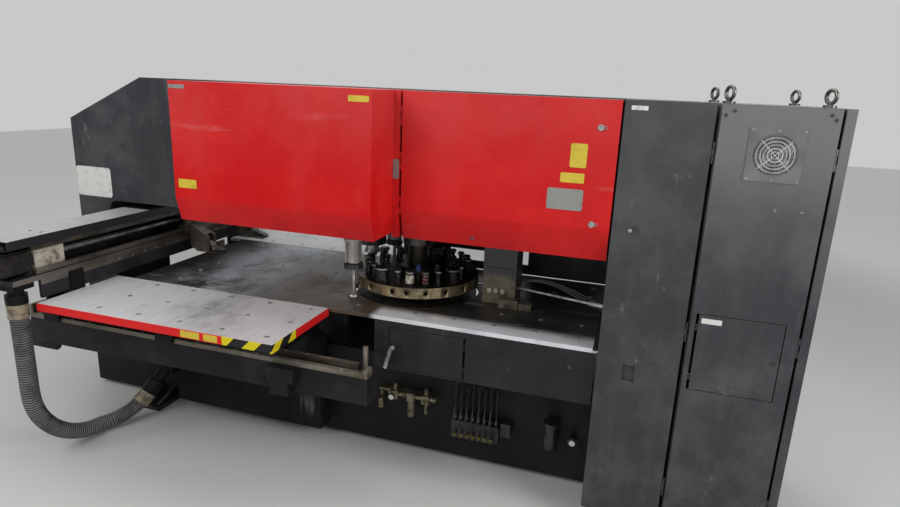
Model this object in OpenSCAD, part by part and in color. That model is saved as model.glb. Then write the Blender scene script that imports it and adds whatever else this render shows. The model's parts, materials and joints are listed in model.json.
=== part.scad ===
// Turret punch press with a bridge frame, millimetres.
// Origin: floor level, in the middle of the four anchor holes.
// +X runs along the frame to the right, +Y away from the front, +Z up.

/* [Bridge frame] */
// Frame's left end, from the middle of the anchor holes
frame_left = 2140; // [2120:10:2200]
// Frame's right end, from the middle of the anchor holes
frame_right = 1620; // [1600:5:1630]
// Depth of the frame, front plate to back plate
frame_depth = 490; // [450:10:500]
// Height of the frame and of its covers
frame_top = 2112; // [2090:2:2200]
// Height of the throat's floor
throat_floor = 600; // [560:5:620]
// Height of the throat's ceiling
throat_top = 1336; // [1330:1:1350]
// Width of the left column
left_column_w = 250; // [220:5:260]
// Width of the right column
right_column_w = 350; // [340:5:360]
// Radius of the throat's corners
throat_r = 60; // [40:5:90]
// Height at which the left shoulder starts to slope
shoulder_z = 1845; // [1750:5:1900]
// Length of the sloping left shoulder
shoulder_run = 570; // [400:10:650]
// Thickness of the foot plates under the frame
foot_t = 30; // [20:1:40]
// Width of one foot plate
foot_w = 150; // [140:5:160]
// Distance between the anchor holes along X
anchor_dx = 3080; // [3050:10:3100]
// Distance between the anchor holes along Y
anchor_dy = 760; // [700:10:800]
// Radius of an anchor hole
anchor_r = 13; // [10:0.5:16]
// Thickness of ribs, gussets and brackets
rib_t = 16; // [12:1:20]

/* [Table] */
// Height of the table's top above the floor
table_top = 950; // [945:1:955]
// Thickness of the table plates
table_t = 22; // [18:1:26]
// Left edge of the fixed table
table_left = 1460; // [1450:5:1480]
// Right edge of the fixed table
table_right = 1246; // [1200:2:1250]
// Half the depth of the fixed table
table_half_d = 535; // [530:1:536]
// Joint between the two left plates of the fixed table
table_joint = 621; // [600:1:640]
// Width of the pale strip along the fixed table's front
strip_w = 150; // [120:5:150]
// Distance from the pale strip's left end to the turret's axis
strip_left = 85; // [80:1:90]
// Gap between two table plates
joint_gap = 1; // [0.5:0.5:2]
// Height of the brackets under the fixed table
bracket_h = 110; // [100:5:120]
// Radius of a ball transfer's ring
ball_ring_r = 13; // [10:1:16]
// Radius of a ball transfer's ball
ball_r = 7; // [6:0.5:8]
// Height of a ball above the table
ball_h = 3; // [2:0.5:3]
// Distance between ball transfers along X on the fixed table
ball_dx = 197; // [180:1:197]
// Distance between rows of ball transfers on the fixed table
ball_dy = 182; // [170:1:184]
// Distance of the first row from the table's middle line
ball_first_y = 66; // [60:1:70]
// Distance between ball transfers to the right of the turret
ball_right_dx = 215; // [200:1:216]

/* [Side tables] */
// Width of a side table along X
side_w = 1410; // [1380:5:1420]
// Depth of a side table along Y
side_d = 540; // [500:5:545]
// Gap between the fixed table and a side table
side_gap = 8; // [5:1:12]
// Left edge of a side table
side_left = 1570; // [1560:1:1572]
// Height of the side table's edge band
edge_h = 42; // [38:1:46]
// Thickness of the edge band
edge_t = 4; // [3:0.5:6]
// Distance between ball transfers along X on a side table
side_ball_dx = 250; // [240:1:250]
// Distance between rows of ball transfers on a side table
side_ball_dy = 205; // [180:1:205]

/* [Guide beams] */
// Middle of a guide beam, in front of and behind the frame
guide_y = 815; // [805:1:830]
// Width of a guide beam
guide_w = 120; // [120:2:130]
// Height of a guide beam
guide_h = 140; // [130:2:150]
// Top of a guide beam
guide_top = 750; // [745:1:755]
// Left end of a guide beam
guide_left = 1900; // [1880:5:1920]
// Right end of a guide beam
guide_right = 224; // [215:1:228]
// Width of the arms that carry a guide beam
arm_w = 90; // [70:5:110]
// Distance of the two rails from the guide beam's middle
rail_out = 44; // [42:1:45]
// Width of a linear rail
rail_w = 28; // [24:1:28]
// Height of a linear rail
rail_h = 26; // [22:1:28]
// Length of a rail block
block_l = 110; // [100:2:120]
// Width of a rail block
block_w = 60; // [54:1:64]
// Height of a rail block over the rail's foot
block_h = 48; // [44:1:52]
// Clearance between a rail and its block
rail_gap = 0.5; // [0.4:0.1:0.8]
// Radius of the post beside the front panel
post_r = 13; // [10:1:15]
// Height of that post
post_h = 122; // [110:1:130]
// Width of the connector box on the front guide beam
connector_w = 154; // [140:2:160]
// Middle of the connector box
connector_x = 233; // [225:1:245]

/* [Carriage] */
// Left end of a saddle
saddle_left = 1780; // [1776:1:1784]
// Length of a saddle
saddle_l = 880; // [860:5:884]
// Thickness of a saddle's plate
saddle_t = 30; // [24:1:34]
// Width of the leg between saddle and beam
leg_w = 200; // [180:5:220]
// Left face of the carriage beam
beam_left = 1775; // [1770:1:1780]
// Width of the carriage beam
beam_w = 185; // [180:1:188]
// Underside of the carriage beam
beam_bottom = 1060; // [1055:1:1065]
// Top of the carriage beam, under its cover
beam_top = 1268; // [1260:1:1272]
// Wall of the carriage beam
beam_wall = 28; // [24:1:30]
// Thickness of the skirt under the beam
skirt_t = 20; // [16:1:24]
// Height of the skirt's lower edge over the table
skirt_lift = 8; // [6:1:12]
// Half the length of the carriage beam
beam_half = 1180; // [1170:5:1190]
// Top of the beam's cover
cover_top = 1300; // [1296:1:1304]
// Width of the beam's cover
cover_w = 206; // [204:1:210]
// Depth of the cover's side flanges
cover_flange = 48; // [42:1:50]
// Thickness of the beam's cover
cover_t = 4; // [3:0.5:5]
// Height of the ball screw's axis
screw_z = 1164; // [1160:1:1168]
// Distance of the ball screw's axis from the beam's back wall
screw_out = 92; // [88:1:96]
// Radius of the ball screw
screw_r = 16; // [12:1:18]
// Length of the front bearing block of the ball screw
front_support_l = 178; // [150:2:178]
// Length of the rear bearing block of the ball screw
rear_support_l = 60; // [50:2:70]
// Distance of the bearing blocks from the beam's ends
support_in = 173; // [170:1:176]
// Width of the square servo motor
motor_w = 118; // [100:2:120]
// Length of the servo motor
motor_len = 270; // [240:5:280]

/* [Cross slide] */
// Middle of the cross slide along the beam
slide_y = 400; // [390:5:410]
// Length of the cross slide
slide_len = 640; // [620:10:660]
// Thickness of the cross slide's front plate
slide_t = 30; // [26:1:34]
// Reach of the clamps from the beam's face
clamp_reach = 255; // [250:1:258]
// Width of one work clamp
clamp_w = 86; // [76:2:96]
// Half the distance between the two work clamps
clamp_half_gap = 254; // [240:2:260]
// Clearance of the clamps over the table
clamp_lift = 3.5; // [3.2:0.1:5]
// Thickness of a clamp's lower lip
lip_t = 5; // [4:0.5:6]
// Open gap between the jaws
jaw_gap = 8; // [7:0.5:10]
// Radius of a jaw's pivot pin
jaw_pin_r = 9; // [7:0.5:10]

/* [Turret] */
// Turret axis along X
turret_x = 155; // [150:1:160]
// Radius of the upper turret disc
upper_r = 365; // [360:1:366]
// Thickness of the upper turret disc
upper_t = 60; // [56:1:62]
// Height of the upper turret disc over the table
upper_lift = 50; // [48:1:52]
// Radius of the lower turret disc
lower_r = 358; // [350:1:362]
// Thickness of the lower turret disc
lower_t = 56; // [50:1:58]
// Depth of the lower turret's top below the table top
lower_drop = 2; // [1:0.5:4]
// Radius of the round opening in the table
table_hole_r = 372; // [370:1:376]
// Radius of the circle of large stations
station_r = 300; // [296:1:304]
// Radius of the inner circle of small stations
inner_r = 215; // [210:1:218]
// Radius of the small punches on the inner circle
small_punch_r = 12; // [10:0.5:13]
// Radius of the turret shafts
shaft_r = 60; // [50:1:65]
// Running clearance of shafts, pins and rods
run_gap = 0.05; // [0.04:0.01:0.08]
// Radius of the locating holes in the turret's rim
rim_hole_r = 12; // [10:0.5:13]
// Depth of the locating holes
rim_hole_d = 26; // [24:1:30]
// How far the punch guides reach below the upper disc
guide_out = 20; // [16:1:22]
// Top of a guide's flange over the upper disc
flange_rise = 10; // [9:0.5:11]
// Height of the punch heads' underside over the upper disc
head_lift = 62; // [60:1:66]
// Thickness of a punch head
head_t = 20; // [18:1:22]
// Radius of the wire of a punch's spring
wire_r = 1.7; // [1.4:0.1:1.8]
// Gap between the striker and the punch head at rest
strike_gap = 0.5; // [0.4:0.1:1]
// Radius of the striker's shaft
striker_r = 40; // [36:1:42]
// Wall of the ram housing
ram_wall = 44; // [40:1:46]
// Lower end of the ram housing
ram_z = 1196; // [1192:1:1204]
// Distance of the index post from the upper disc
index_out = 60; // [58:1:64]
// Width of the index post along X
index_w = 190; // [180:2:200]
// Depth of the index post
index_d = 180; // [160:2:180]

/* [Work holders] */
// Work holder's distance in front of and behind the turret axis
holder_y = 305; // [303:1:308]
// Work holder's place along X
holder_x = 125; // [123:1:130]
// Radius of the holder's end flanges
holder_r = 54; // [50:1:55]
// Radius of the holder's cylinder
cylinder_r = 38; // [36:1:40]
// Underside of the holder's lower flange
holder_z = 1122; // [1120:1:1126]
// Height of the holder's cylinder
cylinder_h = 133; // [130:1:136]
// Radius of the holder's rod
rod_r = 11; // [9:0.5:12]
// Radius of the holder's pad
pad_r = 30; // [26:1:32]
// Height of the holder's lower flange
holder_flange = 26; // [22:1:28]

/* [Covers] */
// Thickness of the sheet covers
sheet_t = 4; // [3:0.5:5]
// Front plane of the red door and the column covers
door_y = 575; // [570:1:580]
// Depth of the folded doors
door_d = 24; // [22:1:26]
// Front plane of the red hood
hood_y = 825; // [815:1:835]
// Left side of the red hood
hood_left = 860; // [850:2:880]
// Right side of the red hood
hood_right = 215; // [210:1:218]
// Height of the crease across the red covers
crease_z = 1536; // [1520:1:1550]
// Lower edge of the red hood
hood_bottom = 1418; // [1412:1:1430]
// Lower edge of the red door
red_bottom = 1390; // [1380:1:1400]
// Left end of the guard that hangs from the rear hood
guard_left = 150; // [130:5:170]
// Height of the guard's lower edge over the table
guard_lift = 15; // [12:1:20]
// Windows of the rear guard: left, right, lower and upper edge of each
guard_windows = [[193, 452, 1009, 1081], [661, 728, 1019, 1114]];
// Setback of the red covers below the crease
setback = 32; // [28:1:36]
// Width of the fixed strip between hood and red door
post_strip = 46; // [44:1:50]
// Gap round a door
door_gap = 4; // [3:0.5:5]
// Distance of a hinge axis from its door's edge
hinge_off = 4; // [4:0.5:5]
// Gap beside a door on its hinge side
hinge_gap = 12; // [11.5:0.5:14]
// Distance of the hinge axes behind the front of the doors
hinge_in = 5; // [4.5:0.5:6]
// Radius of a hinge knuckle
knuckle_r = 3.4; // [3:0.1:3.4]
// Thickness of a hinge leaf
leaf_t = 2; // [1.5:0.5:2.5]
// Height of a door hinge
hinge_h = 90; // [70:5:110]
// Height of a flap hinge
flap_hinge_h = 30; // [24:2:36]
// Radius of a hinge pin
pin_r = 1.6; // [1.4:0.1:1.8]
// Radius of the red door's locks
lock_r = 14; // [12:0.5:16]
// Distance of the locks from the red door's free edge
lock_in = 80; // [76:1:90]
// Distance of the upper lock from the red door's top
lock_drop = 119; // [110:1:140]
// Height of the lower lock over the crease
lock_rise = 24; // [20:1:60]
// Length of a lock's cam
cam_l = 48; // [40:1:56]
// Thickness of cams and latch bars
cam_t = 3; // [2.5:0.5:4]

/* [Column door and cabinet] */
// Left side of the control cabinet
cabinet_left = 1652; // [1650:1:1656]
// Width of the control cabinet
cabinet_w = 488; // [478:5:508]
// Back of the control cabinet
cabinet_back = 340; // [330:5:350]
// Lower edge of the cabinet and of the tall doors
skirt_z = 110; // [100:5:120]
// Width of the cabinet's right front post
post_w = 36; // [32:1:40]
// Width of a cabinet leg
leg_side = 40; // [36:1:44]
// Radius of the column door's latch
latch_r = 20; // [18:0.5:22]
// Height of the column door's latch
latch_z = 1550; // [1500:10:1600]
// Distance of the latch from the column door's left edge
latch_in = 100; // [90:1:110]
// Height of the grip recess in the column door
recess_z = 868; // [840:2:900]
// Distance of the fan's middle from the cabinet's left side
fan_in = 225; // [215:1:235]
// Distance of the fan's middle from the frame's top
fan_drop = 194; // [190:1:200]
// Radius of the fan's opening
fan_r = 84; // [80:1:88]
// Left edge of the cabinet's access flap, from the cabinet's left side
flap_in = 31; // [28:1:34]
// Distance of the access flap from the cabinet door's hinge edge
flap_out = 57; // [54:1:80]
// Lower edge of the access flap
flap_bottom = 845; // [800:5:900]
// Upper edge of the access flap
flap_top = 1205; // [1190:1:1210]
// Depth of the small flaps' folded edges
flap_d = 14; // [12:1:16]
// Outer radius of an eyebolt's ring
eye_r = 34; // [30:1:38]
// Radius of an eyebolt's round bar
eye_wire_r = 8; // [7:0.5:9]

/* [Front panel and service units] */
// Left end of the front panel
panel_left = 112; // [108:1:116]
// Lower edge of the front panel
panel_bottom = 655; // [650:1:660]
// Upper edge of the front panel
panel_top = 924; // [920:1:926]
// Left edge of the small door in the front panel
hatch_left = 197; // [190:1:200]
// Right edge of the small door's opening
hatch_right = 616; // [612:1:620]
// Height of the small door's handle axis
hatch_handle_z = 781; // [770:1:790]
// Length of the small door's handle
handle_l = 112; // [100:1:116]
// Depth of the front panel's mounting lugs below the throat's floor
lug_h = 60; // [50:2:70]
// Front face of the pedestals
pedestal_y = 375; // [370:1:380]
// Left end of the pedestals
pedestal_left = 1340; // [1320:5:1340]
// Right end of the pedestals
pedestal_right = 308; // [300:2:320]
// Left end of the filter regulator unit
air_x = 110; // [100:2:120]
// Height of the filter regulator unit
air_z = 392; // [380:2:400]
// Left end of the oil distribution block
oil_x = 500; // [490:2:510]
// Lower edge of the oil distribution block
oil_z = 200; // [190:2:220]
// Distance between two oil lines
oil_pitch = 34; // [30:1:36]
// Radius of the oil filter
filter_r = 40; // [34:1:42]
// Radius of the pressure gauge
gauge_r = 26; // [22:1:30]
// Radius of the cable hose
hose_r = 46; // [40:1:46]

/* [Hidden] */
$fn = 48;

charcoal = [0.24, 0.245, 0.26];
press_red = [0.80, 0.06, 0.06];
bare_steel = [0.66, 0.67, 0.68];
dark_steel = [0.20, 0.19, 0.18];
oily_steel = [0.36, 0.33, 0.30];
rail_brown = [0.47, 0.42, 0.36];
brassy = [0.55, 0.47, 0.30];
cream = [0.80, 0.77, 0.70];
black_rubber = [0.09, 0.09, 0.09];

half_d = frame_depth / 2;
throat_left = -frame_left + left_column_w;
throat_right = frame_right - right_column_w;

table_under = table_top - table_t;
panel_y = table_half_d + sheet_t;
strip_x = turret_x - strip_left;
strip_y = -table_half_d + strip_w;
bracket_x = [
  -table_left + 20, -table_left + 460, -table_joint + 61, turret_x - table_hole_r - 23,
  turret_x + table_hole_r + 3, turret_x + table_hole_r + 313, table_right - 96
];
ring_h = 0.8;

guide_bottom = guide_top - guide_h;
rail_top = guide_top + rail_h;
block_top = guide_top + block_h;
block_lift = 6;
stop_l = 22;
hanger_w = 252;
hanger_h = 158;
hanger_t = 16;
pan_bottom = foot_t + 60;
pan_top = throat_floor - 130;

beam_x = -beam_left;
beam_face = beam_x + beam_w;
beam_floor = beam_bottom + beam_wall;
beam_ceiling = beam_top - beam_wall;
beam_rail_w = 24;
low_rail_x = beam_face - 40;
high_rail_x = beam_face - 58;
screw_x = beam_x + screw_out;
motor_y = -beam_half + 140;
saddle_x = -saddle_left;
saddle_half = rail_out + block_w / 2 - 4;
leg_half = 45;
saddle_top = block_top + saddle_t;
side_x = -side_left;
side_y0 = -(table_half_d + side_gap + side_d);
edge_bottom = table_top - edge_h;

slide_lap = 14;
slide_face = beam_face + slide_t - slide_lap;
slide_floor = beam_floor + 3;
clamp_floor = table_top + clamp_lift;
clamp_tip = beam_face + clamp_reach;
jaw_pivot_x = beam_face + 130;
jaw_pivot_z = table_top + 62;

upper_z0 = table_top + upper_lift;
upper_z1 = upper_z0 + upper_t;
lower_z1 = table_top - lower_drop;
lower_z0 = lower_z1 - lower_t;
guide_z = upper_z0 - guide_out;
flange_z = upper_z1 + flange_rise;
head_z = upper_z1 + head_lift;
head_top = head_z + head_t;
striker_z = head_top + strike_gap;
striker_foot = 20;
punch_x = turret_x - station_r;
rim_z = upper_z0 + upper_t / 2;
hub_r = shaft_r + 60;
bearing_r = shaft_r + 34;
bearing_z = upper_z1 + 170;
ram_r = striker_r + ram_wall;
index_x = turret_x + upper_r + index_out;
index_pin_r = rim_hole_r - 1.5;
stem_share = 0.7;
tip_share = 0.45;
die_wall = 6;
die_gap = 0.3;
spring_seat = 0.3;
cylinder_z = holder_z + holder_flange;
cylinder_top = cylinder_z + cylinder_h;

cover_z = frame_top - sheet_t;
bay_y = door_y - setback - door_d;
housing_y = door_y - door_d - 1;
red_left = hood_right + post_strip;
red_right = throat_right - 7;
red_sill = red_bottom + 6;
red_hinge_z = [red_bottom + 170, frame_top - 120];
lock_x = red_right - lock_in;
lock_z = [crease_z + lock_rise, cover_z - lock_drop];
column_left = throat_right + 1;
column_right = cabinet_left - 12;
column_door_left = column_left + 2;
column_door_right = column_right - door_gap;
column_hinge_x = column_right + hinge_off;
tall_hinge_z = [skirt_z + 200, frame_top - 200];
cabinet_floor = skirt_z - 5;
cabinet_wall = 5;
cabinet_right = cabinet_left + cabinet_w;
cabinet_door_left = cabinet_left + door_gap;
cabinet_door_right = cabinet_right - post_w - hinge_gap;
latch_x = column_door_left + latch_in;
recess_x = column_door_left + 147;
fan_x = cabinet_left + fan_in;
fan_z = frame_top - fan_drop;
flap_left = cabinet_left + flap_in;
flap_right = cabinet_door_right - flap_out;
flap_axis_x = flap_left + 2;
flap_latch_x = flap_right - 24;
flap_latch_z = (flap_bottom + flap_top) / 2;
hatch_x1 = hatch_right - hinge_gap;
hatch_axis_x = hatch_x1 + hinge_off;
hatch_handle_x = hatch_left + 20;
hatch_z0 = panel_bottom + 14;
hatch_z1 = panel_top - 31;
oil_y = -half_d - 60;
oil_top = oil_z + 100;
oil_port_h = 34;

// Angle and punch radius of each tooled station on the outer circle; the first is under the ram
stations = [
  [180, 24], [199, 14], [217, 20], [233, 14], [248, 38], [268, 14], [281, 19], [298, 17], [312, 14],
  [331, 34], [345, 14], [17, 14], [33, 20], [48, 14], [63, 14], [87, 38], [100, 14], [117, 20],
  [135, 14], [155, 24]
];
empty_station = [0, 20];
all_stations = concat(stations, [empty_station]);
inner_angles = [20 : 30 : 350];

// Route of the cable hose: down from the beam's collar, along the floor, up into the base
hose_route = [
  [-1660, -1120, 950], [-1660, -1120, 840], [-1660, -1120, 740], [-1660, -1120, 640],
  [-1660, -1120, 540], [-1660, -1120, 434], [-1659, -1113, 359], [-1657, -1091, 286],
  [-1652, -1055, 219], [-1647, -1007, 160], [-1640, -949, 112], [-1632, -883, 76],
  [-1624, -810, 54], [-1615, -735, 47], [-1581, -682, 52], [-1548, -631, 69],
  [-1517, -582, 95], [-1489, -538, 131], [-1465, -500, 175]
];
hose_start = hose_route[0];
hose_end = hose_route[len(hose_route) - 1];
hose_end_dir = unit([0.35, 0.55, 0.758]);
collar_start = hose_end + 0.3 * hose_end_dir;

function unit(v) = v / norm(v);
function path_dir(p, i) = unit(p[min(i + 1, len(p) - 1)] - p[max(i - 1, 0)]);
function spread(a, b, n) = [for (i = [0 : n - 1]) a + i * (b - a) / (n - 1)];
function bend(a, b, c, d, n) = [for (i = [0 : n]) let (t = i / n, s = 1 - t)
  s * s * s * a + 3 * s * s * t * b + 3 * s * t * t * c + t * t * t * d];

module block(x0, x1, y0, y1, z0, z1) {
  translate([x0, y0, z0]) cube([x1 - x0, y1 - y0, z1 - z0]);
}

module rod_x(r, x0, x1, y, z) {
  translate([x0, y, z]) rotate([0, 90, 0]) cylinder(r = r, h = x1 - x0);
}

module rod_y(r, y0, y1, x, z) {
  translate([x, y0, z]) rotate([-90, 0, 0]) cylinder(r = r, h = y1 - y0);
}

module rod_z(r, x, y, z0, z1) {
  translate([x, y, z0]) cylinder(r = r, h = z1 - z0);
}

module both_sides() {
  children();
  mirror([0, 1, 0]) children();
}

// Profile given as [y, z] points, drawn along X
module along_x(x0, x1) {
  translate([x0, 0, 0]) rotate([90, 0, 90]) linear_extrude(x1 - x0) children();
}

// Profile given as [x, z] points, drawn along Y
module along_y(y0, y1) {
  translate([0, y1, 0]) rotate([90, 0, 0]) linear_extrude(y1 - y0) children();
}

// Places its children at a point, with their Z along a direction
module pointing(p, d) {
  translate(p) rotate([0, acos(d.z), atan2(d.y, d.x)]) children();
}

// Two outer knuckles and the pin of a hinge, axis at the origin
module outer_knuckles(h) {
  for (end = [-1, 1]) translate([0, 0, end * h / 3])
    cylinder(r = knuckle_r, h = h / 3 - 1, center = true, $fn = 24);
  cylinder(r = pin_r, h = h - 1, center = true, $fn = 24);
}

// Hinge half that stays with the housing; its leaves reach towards the side given
module fixed_hinge(leaf_l, side, h) {
  outer_knuckles(h);
  for (end = [-1, 1]) translate([side * leaf_l / 2, 0, end * h / 3])
    cube([leaf_l, leaf_t, h / 3 - 1], center = true);
}

// Middle knuckle that turns with the door
module door_hinge(leaf_l, side, h) {
  difference() {
    union() {
      cylinder(r = knuckle_r, h = h / 3 - 1, center = true, $fn = 24);
      translate([side * leaf_l / 2, 0, 0]) cube([leaf_l, leaf_t, h / 3 - 1], center = true);
    }
    cylinder(r = pin_r + run_gap, h = h, center = true, $fn = 24);
  }
}

// Folded sheet door, front skin with returns behind it
module folded_door(x0, x1, z0, z1, y, d) {
  difference() {
    block(x0, x1, -y, -(y - d), z0, z1);
    block(x0 + sheet_t, x1 - sheet_t, -(y - sheet_t), -(y - d) + 1, z0 + sheet_t, z1 - sheet_t);
  }
}

// Ring of n points round c, square to d; side is any direction the route never takes
function ring(c, d, side, r, n) =
  let (a = unit(cross(side, d)), b = cross(d, a))
  [for (k = [0 : n - 1]) c + r * (cos(360 * k / n) * a + sin(360 * k / n) * b)];

// Closed skin over rings of n points each
module skin(rings, n) {
  m = len(rings) / n;
  sides = [for (i = [0 : m - 2], k = [0 : n - 1])
    [i * n + k, i * n + (k + 1) % n, (i + 1) * n + (k + 1) % n, (i + 1) * n + k]];
  start = [[for (k = [n - 1 : -1 : 0]) k]];
  finish = [[for (k = [0 : n - 1]) (m - 1) * n + k]];
  polyhedron(rings, concat(start, sides, finish));
}

// Tube along a list of points, its ends square to the two directions given
module tube(route, start_dir, end_dir, side, r, n) {
  m = len(route);
  skin([for (i = [0 : m - 1]) each ring(
    route[i], i == 0 ? start_dir : i == m - 1 ? end_dir : path_dir(route, i), side, r, n)], n);
}

module throat_outline() {
  r = throat_r;
  w = throat_right - throat_left;
  h = throat_top - throat_floor;
  translate([throat_left, throat_floor]) {
    translate([r, 0]) square([w - 2 * r, h]);
    translate([0, r]) square([w, h - 2 * r]);
    for (x = [r, w - r], z = [r, h - r]) translate([x, z]) circle(r);
  }
}

module bridge_frame() {
  color(charcoal) rotate([90, 0, 0]) linear_extrude(frame_depth, center = true) difference() {
    polygon([
      [-frame_left, foot_t], [frame_right, foot_t], [frame_right, frame_top],
      [-frame_left + shoulder_run, frame_top], [-frame_left, shoulder_z]
    ]);
    throat_outline();
  }
}

// Foot plates stand out in front of and behind the frame so that the anchors can be reached
module foot_plates() {
  foot_y = -anchor_dy / 2 - foot_w / 3;
  color(dark_steel) both_sides() for (side = [-1, 1]) {
    x = side * anchor_dx / 2;
    difference() {
      block(x - foot_w / 2, x + foot_w / 2, foot_y, -rib_t, 0, foot_t);
      rod_z(anchor_r, x, -anchor_dy / 2, -1, foot_t + 1);
    }
    for (gusset = [-1, 1]) along_x(x + gusset * foot_w / 3 - rib_t / 2, x + gusset * foot_w / 3 + rib_t / 2)
      polygon([[-half_d, foot_t], [foot_y + 20, foot_t], [-half_d, foot_t + 70]]);
  }
}

module guide_rail(y, x1) {
  block(-guide_left + stop_l, x1, y - rail_w / 2, y + rail_w / 2, guide_top, rail_top);
}

// Plate with a lifting hole, hung under the left end of a guide beam
module hanger() {
  x0 = -guide_left - hanger_w / 2;
  z0 = guide_bottom - hanger_h / 2 + 8;
  difference() {
    along_y(-guide_y - hanger_t / 2, -guide_y + hanger_t / 2) polygon([
      [x0, z0 + hanger_h], [x0, z0 + 20], [x0 + 20, z0], [x0 + hanger_w - 20, z0],
      [x0 + hanger_w, z0 + 20], [x0 + hanger_w, guide_bottom], [-guide_left, guide_bottom],
      [-guide_left, z0 + hanger_h]
    ]);
    rod_y(hanger_t, -guide_y - hanger_t, -guide_y + hanger_t, x0 + hanger_w / 2 - 27, z0 + 50);
  }
}

// Box beams beside the frame carry two rails each; the front one also a box with cable connectors
module guide_beams() {
  front = -guide_y - guide_w / 2;
  back = -guide_y + guide_w / 2;
  post_x = guide_right - 56;
  rail_x1 = guide_right - stop_l - 2;
  color(charcoal) both_sides() {
    block(-guide_left, guide_right, front, back, guide_bottom, guide_top);
    hanger();
    for (x = [saddle_x, -table_left + 200, -connector_x - 187]) along_x(x, x + arm_w) polygon([
      [back, guide_top - 10], [-half_d, guide_top - 10], [-half_d, throat_floor - 120],
      [-pedestal_y - 3, throat_floor - 40], [back, guide_bottom + 6]
    ]);
  }
  color(rail_brown) both_sides() {
    guide_rail(-guide_y - rail_out, rail_x1);
    guide_rail(-guide_y + rail_out, post_x - 34);
  }
  color(bare_steel) both_sides() {
    block(-guide_left, -guide_left + stop_l - 2, front + 4, back - 4, guide_top, guide_top + 78);
    block(rail_x1 + 2, guide_right, front + 2, -guide_y, guide_top, guide_top + 44);
    block(post_x - 16, post_x + 16, back - 32, back, guide_top, guide_top + 12);
    rod_z(post_r, post_x, back - 16, guide_top, guide_top + post_h);
  }
  color(charcoal) block(-connector_x - connector_w / 2, -connector_x + connector_w / 2, front - 46, front,
    guide_top - 78, guide_top - 2);
  color(cream) {
    block(-connector_x - 60, -connector_x + 42, front - 40, front - 6, guide_bottom - 14, guide_top - 78);
    block(-connector_x - 118, -connector_x - 60, front - 26, front - 14,
      guide_bottom + 36, guide_bottom + 50);
  }
}

// Oil pan pedestals under the guide arms, the brackets of the fixed table and the hose's elbow box
module pedestals() {
  color(charcoal) both_sides() {
    block(-pedestal_left, -pedestal_right, -pedestal_y, -half_d, pan_bottom, pan_top);
    for (x = bracket_x) along_x(x, x + rib_t) polygon([
      [-table_half_d + 20, table_under], [-half_d + 60, table_under],
      [-half_d + 60, throat_floor], [-half_d, throat_floor],
      [-table_half_d + 20, table_under - bracket_h]
    ]);
  }
  color(charcoal) {
    pointing(collar_start, hose_end_dir) cylinder(r = hose_r - 8, h = 230);
    block(-1440, -1330, -430, -half_d, 290, 410);
  }
  color(dark_steel) pointing(collar_start, hose_end_dir) cylinder(r = hose_r + 6, h = 90);
}

module table_plate(x0, x1, y0, y1) {
  difference() {
    block(x0, x1, y0, y1, table_under, table_top);
    rod_z(table_hole_r, turret_x, 0, table_under - 1, table_top + 1, $fn = 96);
  }
}

// Fixed table: three plates round the turret and a pale strip along the front
module fixed_table() {
  color(oily_steel) {
    table_plate(-table_left, -table_joint - joint_gap, -table_half_d, table_half_d);
    table_plate(-table_joint, strip_x - joint_gap, -table_half_d, table_half_d);
    difference() {
      table_plate(strip_x, table_right, strip_y + joint_gap, table_half_d);
      block(index_x - 2, index_x + index_w + 2, -index_d / 2 - 2, index_d / 2 + 2,
        table_under - 1, table_top + 1);
    }
  }
  color(bare_steel) table_plate(strip_x, table_right, -table_half_d, strip_y);
}

// Ball transfer: a ring let into the table and the ball that stands out of it
module ball_unit(x, y) {
  translate([x, y, table_top]) {
    cylinder(r = ball_ring_r, h = ring_h, $fn = 24);
    cylinder(r1 = ball_r, r2 = ball_r / 2, h = ball_h, $fn = 24);
  }
}

module table_balls() {
  first_x = -table_left + 245;
  right_x = turret_x + 150;
  color(bare_steel) both_sides() {
    for (i = [0 : 5], row = [0 : 2]) ball_unit(first_x + i * ball_dx, -ball_first_y - row * ball_dy);
    ball_unit(first_x + 6 * ball_dx, -ball_first_y - 2 * ball_dy);
    for (i = [0 : 4]) ball_unit(right_x + i * ball_right_dx, -ball_first_y - 2 * ball_dy);
    for (i = [2 : 4]) ball_unit(right_x + i * ball_right_dx, -ball_first_y - ball_dy);
  }
}

// Front panel with the opening of a small hinged door
module front_panel() {
  panel_right = throat_right - 8;
  color(charcoal) {
    difference() {
      block(panel_left, panel_right, -panel_y, -table_half_d, panel_bottom, panel_top);
      block(hatch_left - door_gap, hatch_right, -panel_y - 1, -table_half_d + 1,
        hatch_z0 - door_gap, hatch_z1 + door_gap);
    }
    for (x = [panel_left, panel_right - rib_t]) along_x(x, x + rib_t) polygon([
      [-table_half_d, panel_bottom], [-table_half_d, panel_bottom + lug_h],
      [-half_d, throat_floor - 10], [-half_d, throat_floor - lug_h], [-half_d - 70, panel_bottom]
    ]);
    for (z = [hatch_z0 + 50, hatch_z1 - 50]) translate([hatch_axis_x, -panel_y + hinge_in, z])
      fixed_hinge(hinge_gap + 4, 1, flap_hinge_h);
  }
}

// Small door for reaching the lower turret's drive
module hatch_door() {
  color(charcoal) {
    difference() {
      folded_door(hatch_left, hatch_x1, hatch_z0, hatch_z1, panel_y, flap_d);
      rod_y(8 + run_gap, -panel_y - 1, -panel_y + sheet_t + 1, hatch_handle_x, hatch_handle_z);
    }
    for (z = [hatch_z0 + 50, hatch_z1 - 50]) translate([hatch_axis_x, -panel_y + hinge_in, z])
      door_hinge(hinge_off, -1, flap_hinge_h);
  }
}

// Bent lever outside the small door, latch bar inside
module hatch_handle() {
  color(bare_steel) translate([hatch_handle_x, -panel_y, hatch_handle_z]) {
    rod_y(8, -31, flap_d + 2, 0, 0);
    rod_y(13, -8, -1, 0, 0);
    rotate([0, 15, 0]) translate([-9, -36, -handle_l]) cube([18, 6, handle_l + 12]);
    translate([-34, flap_d + 1, -7]) cube([42, cam_t, 14]);
  }
}

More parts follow.
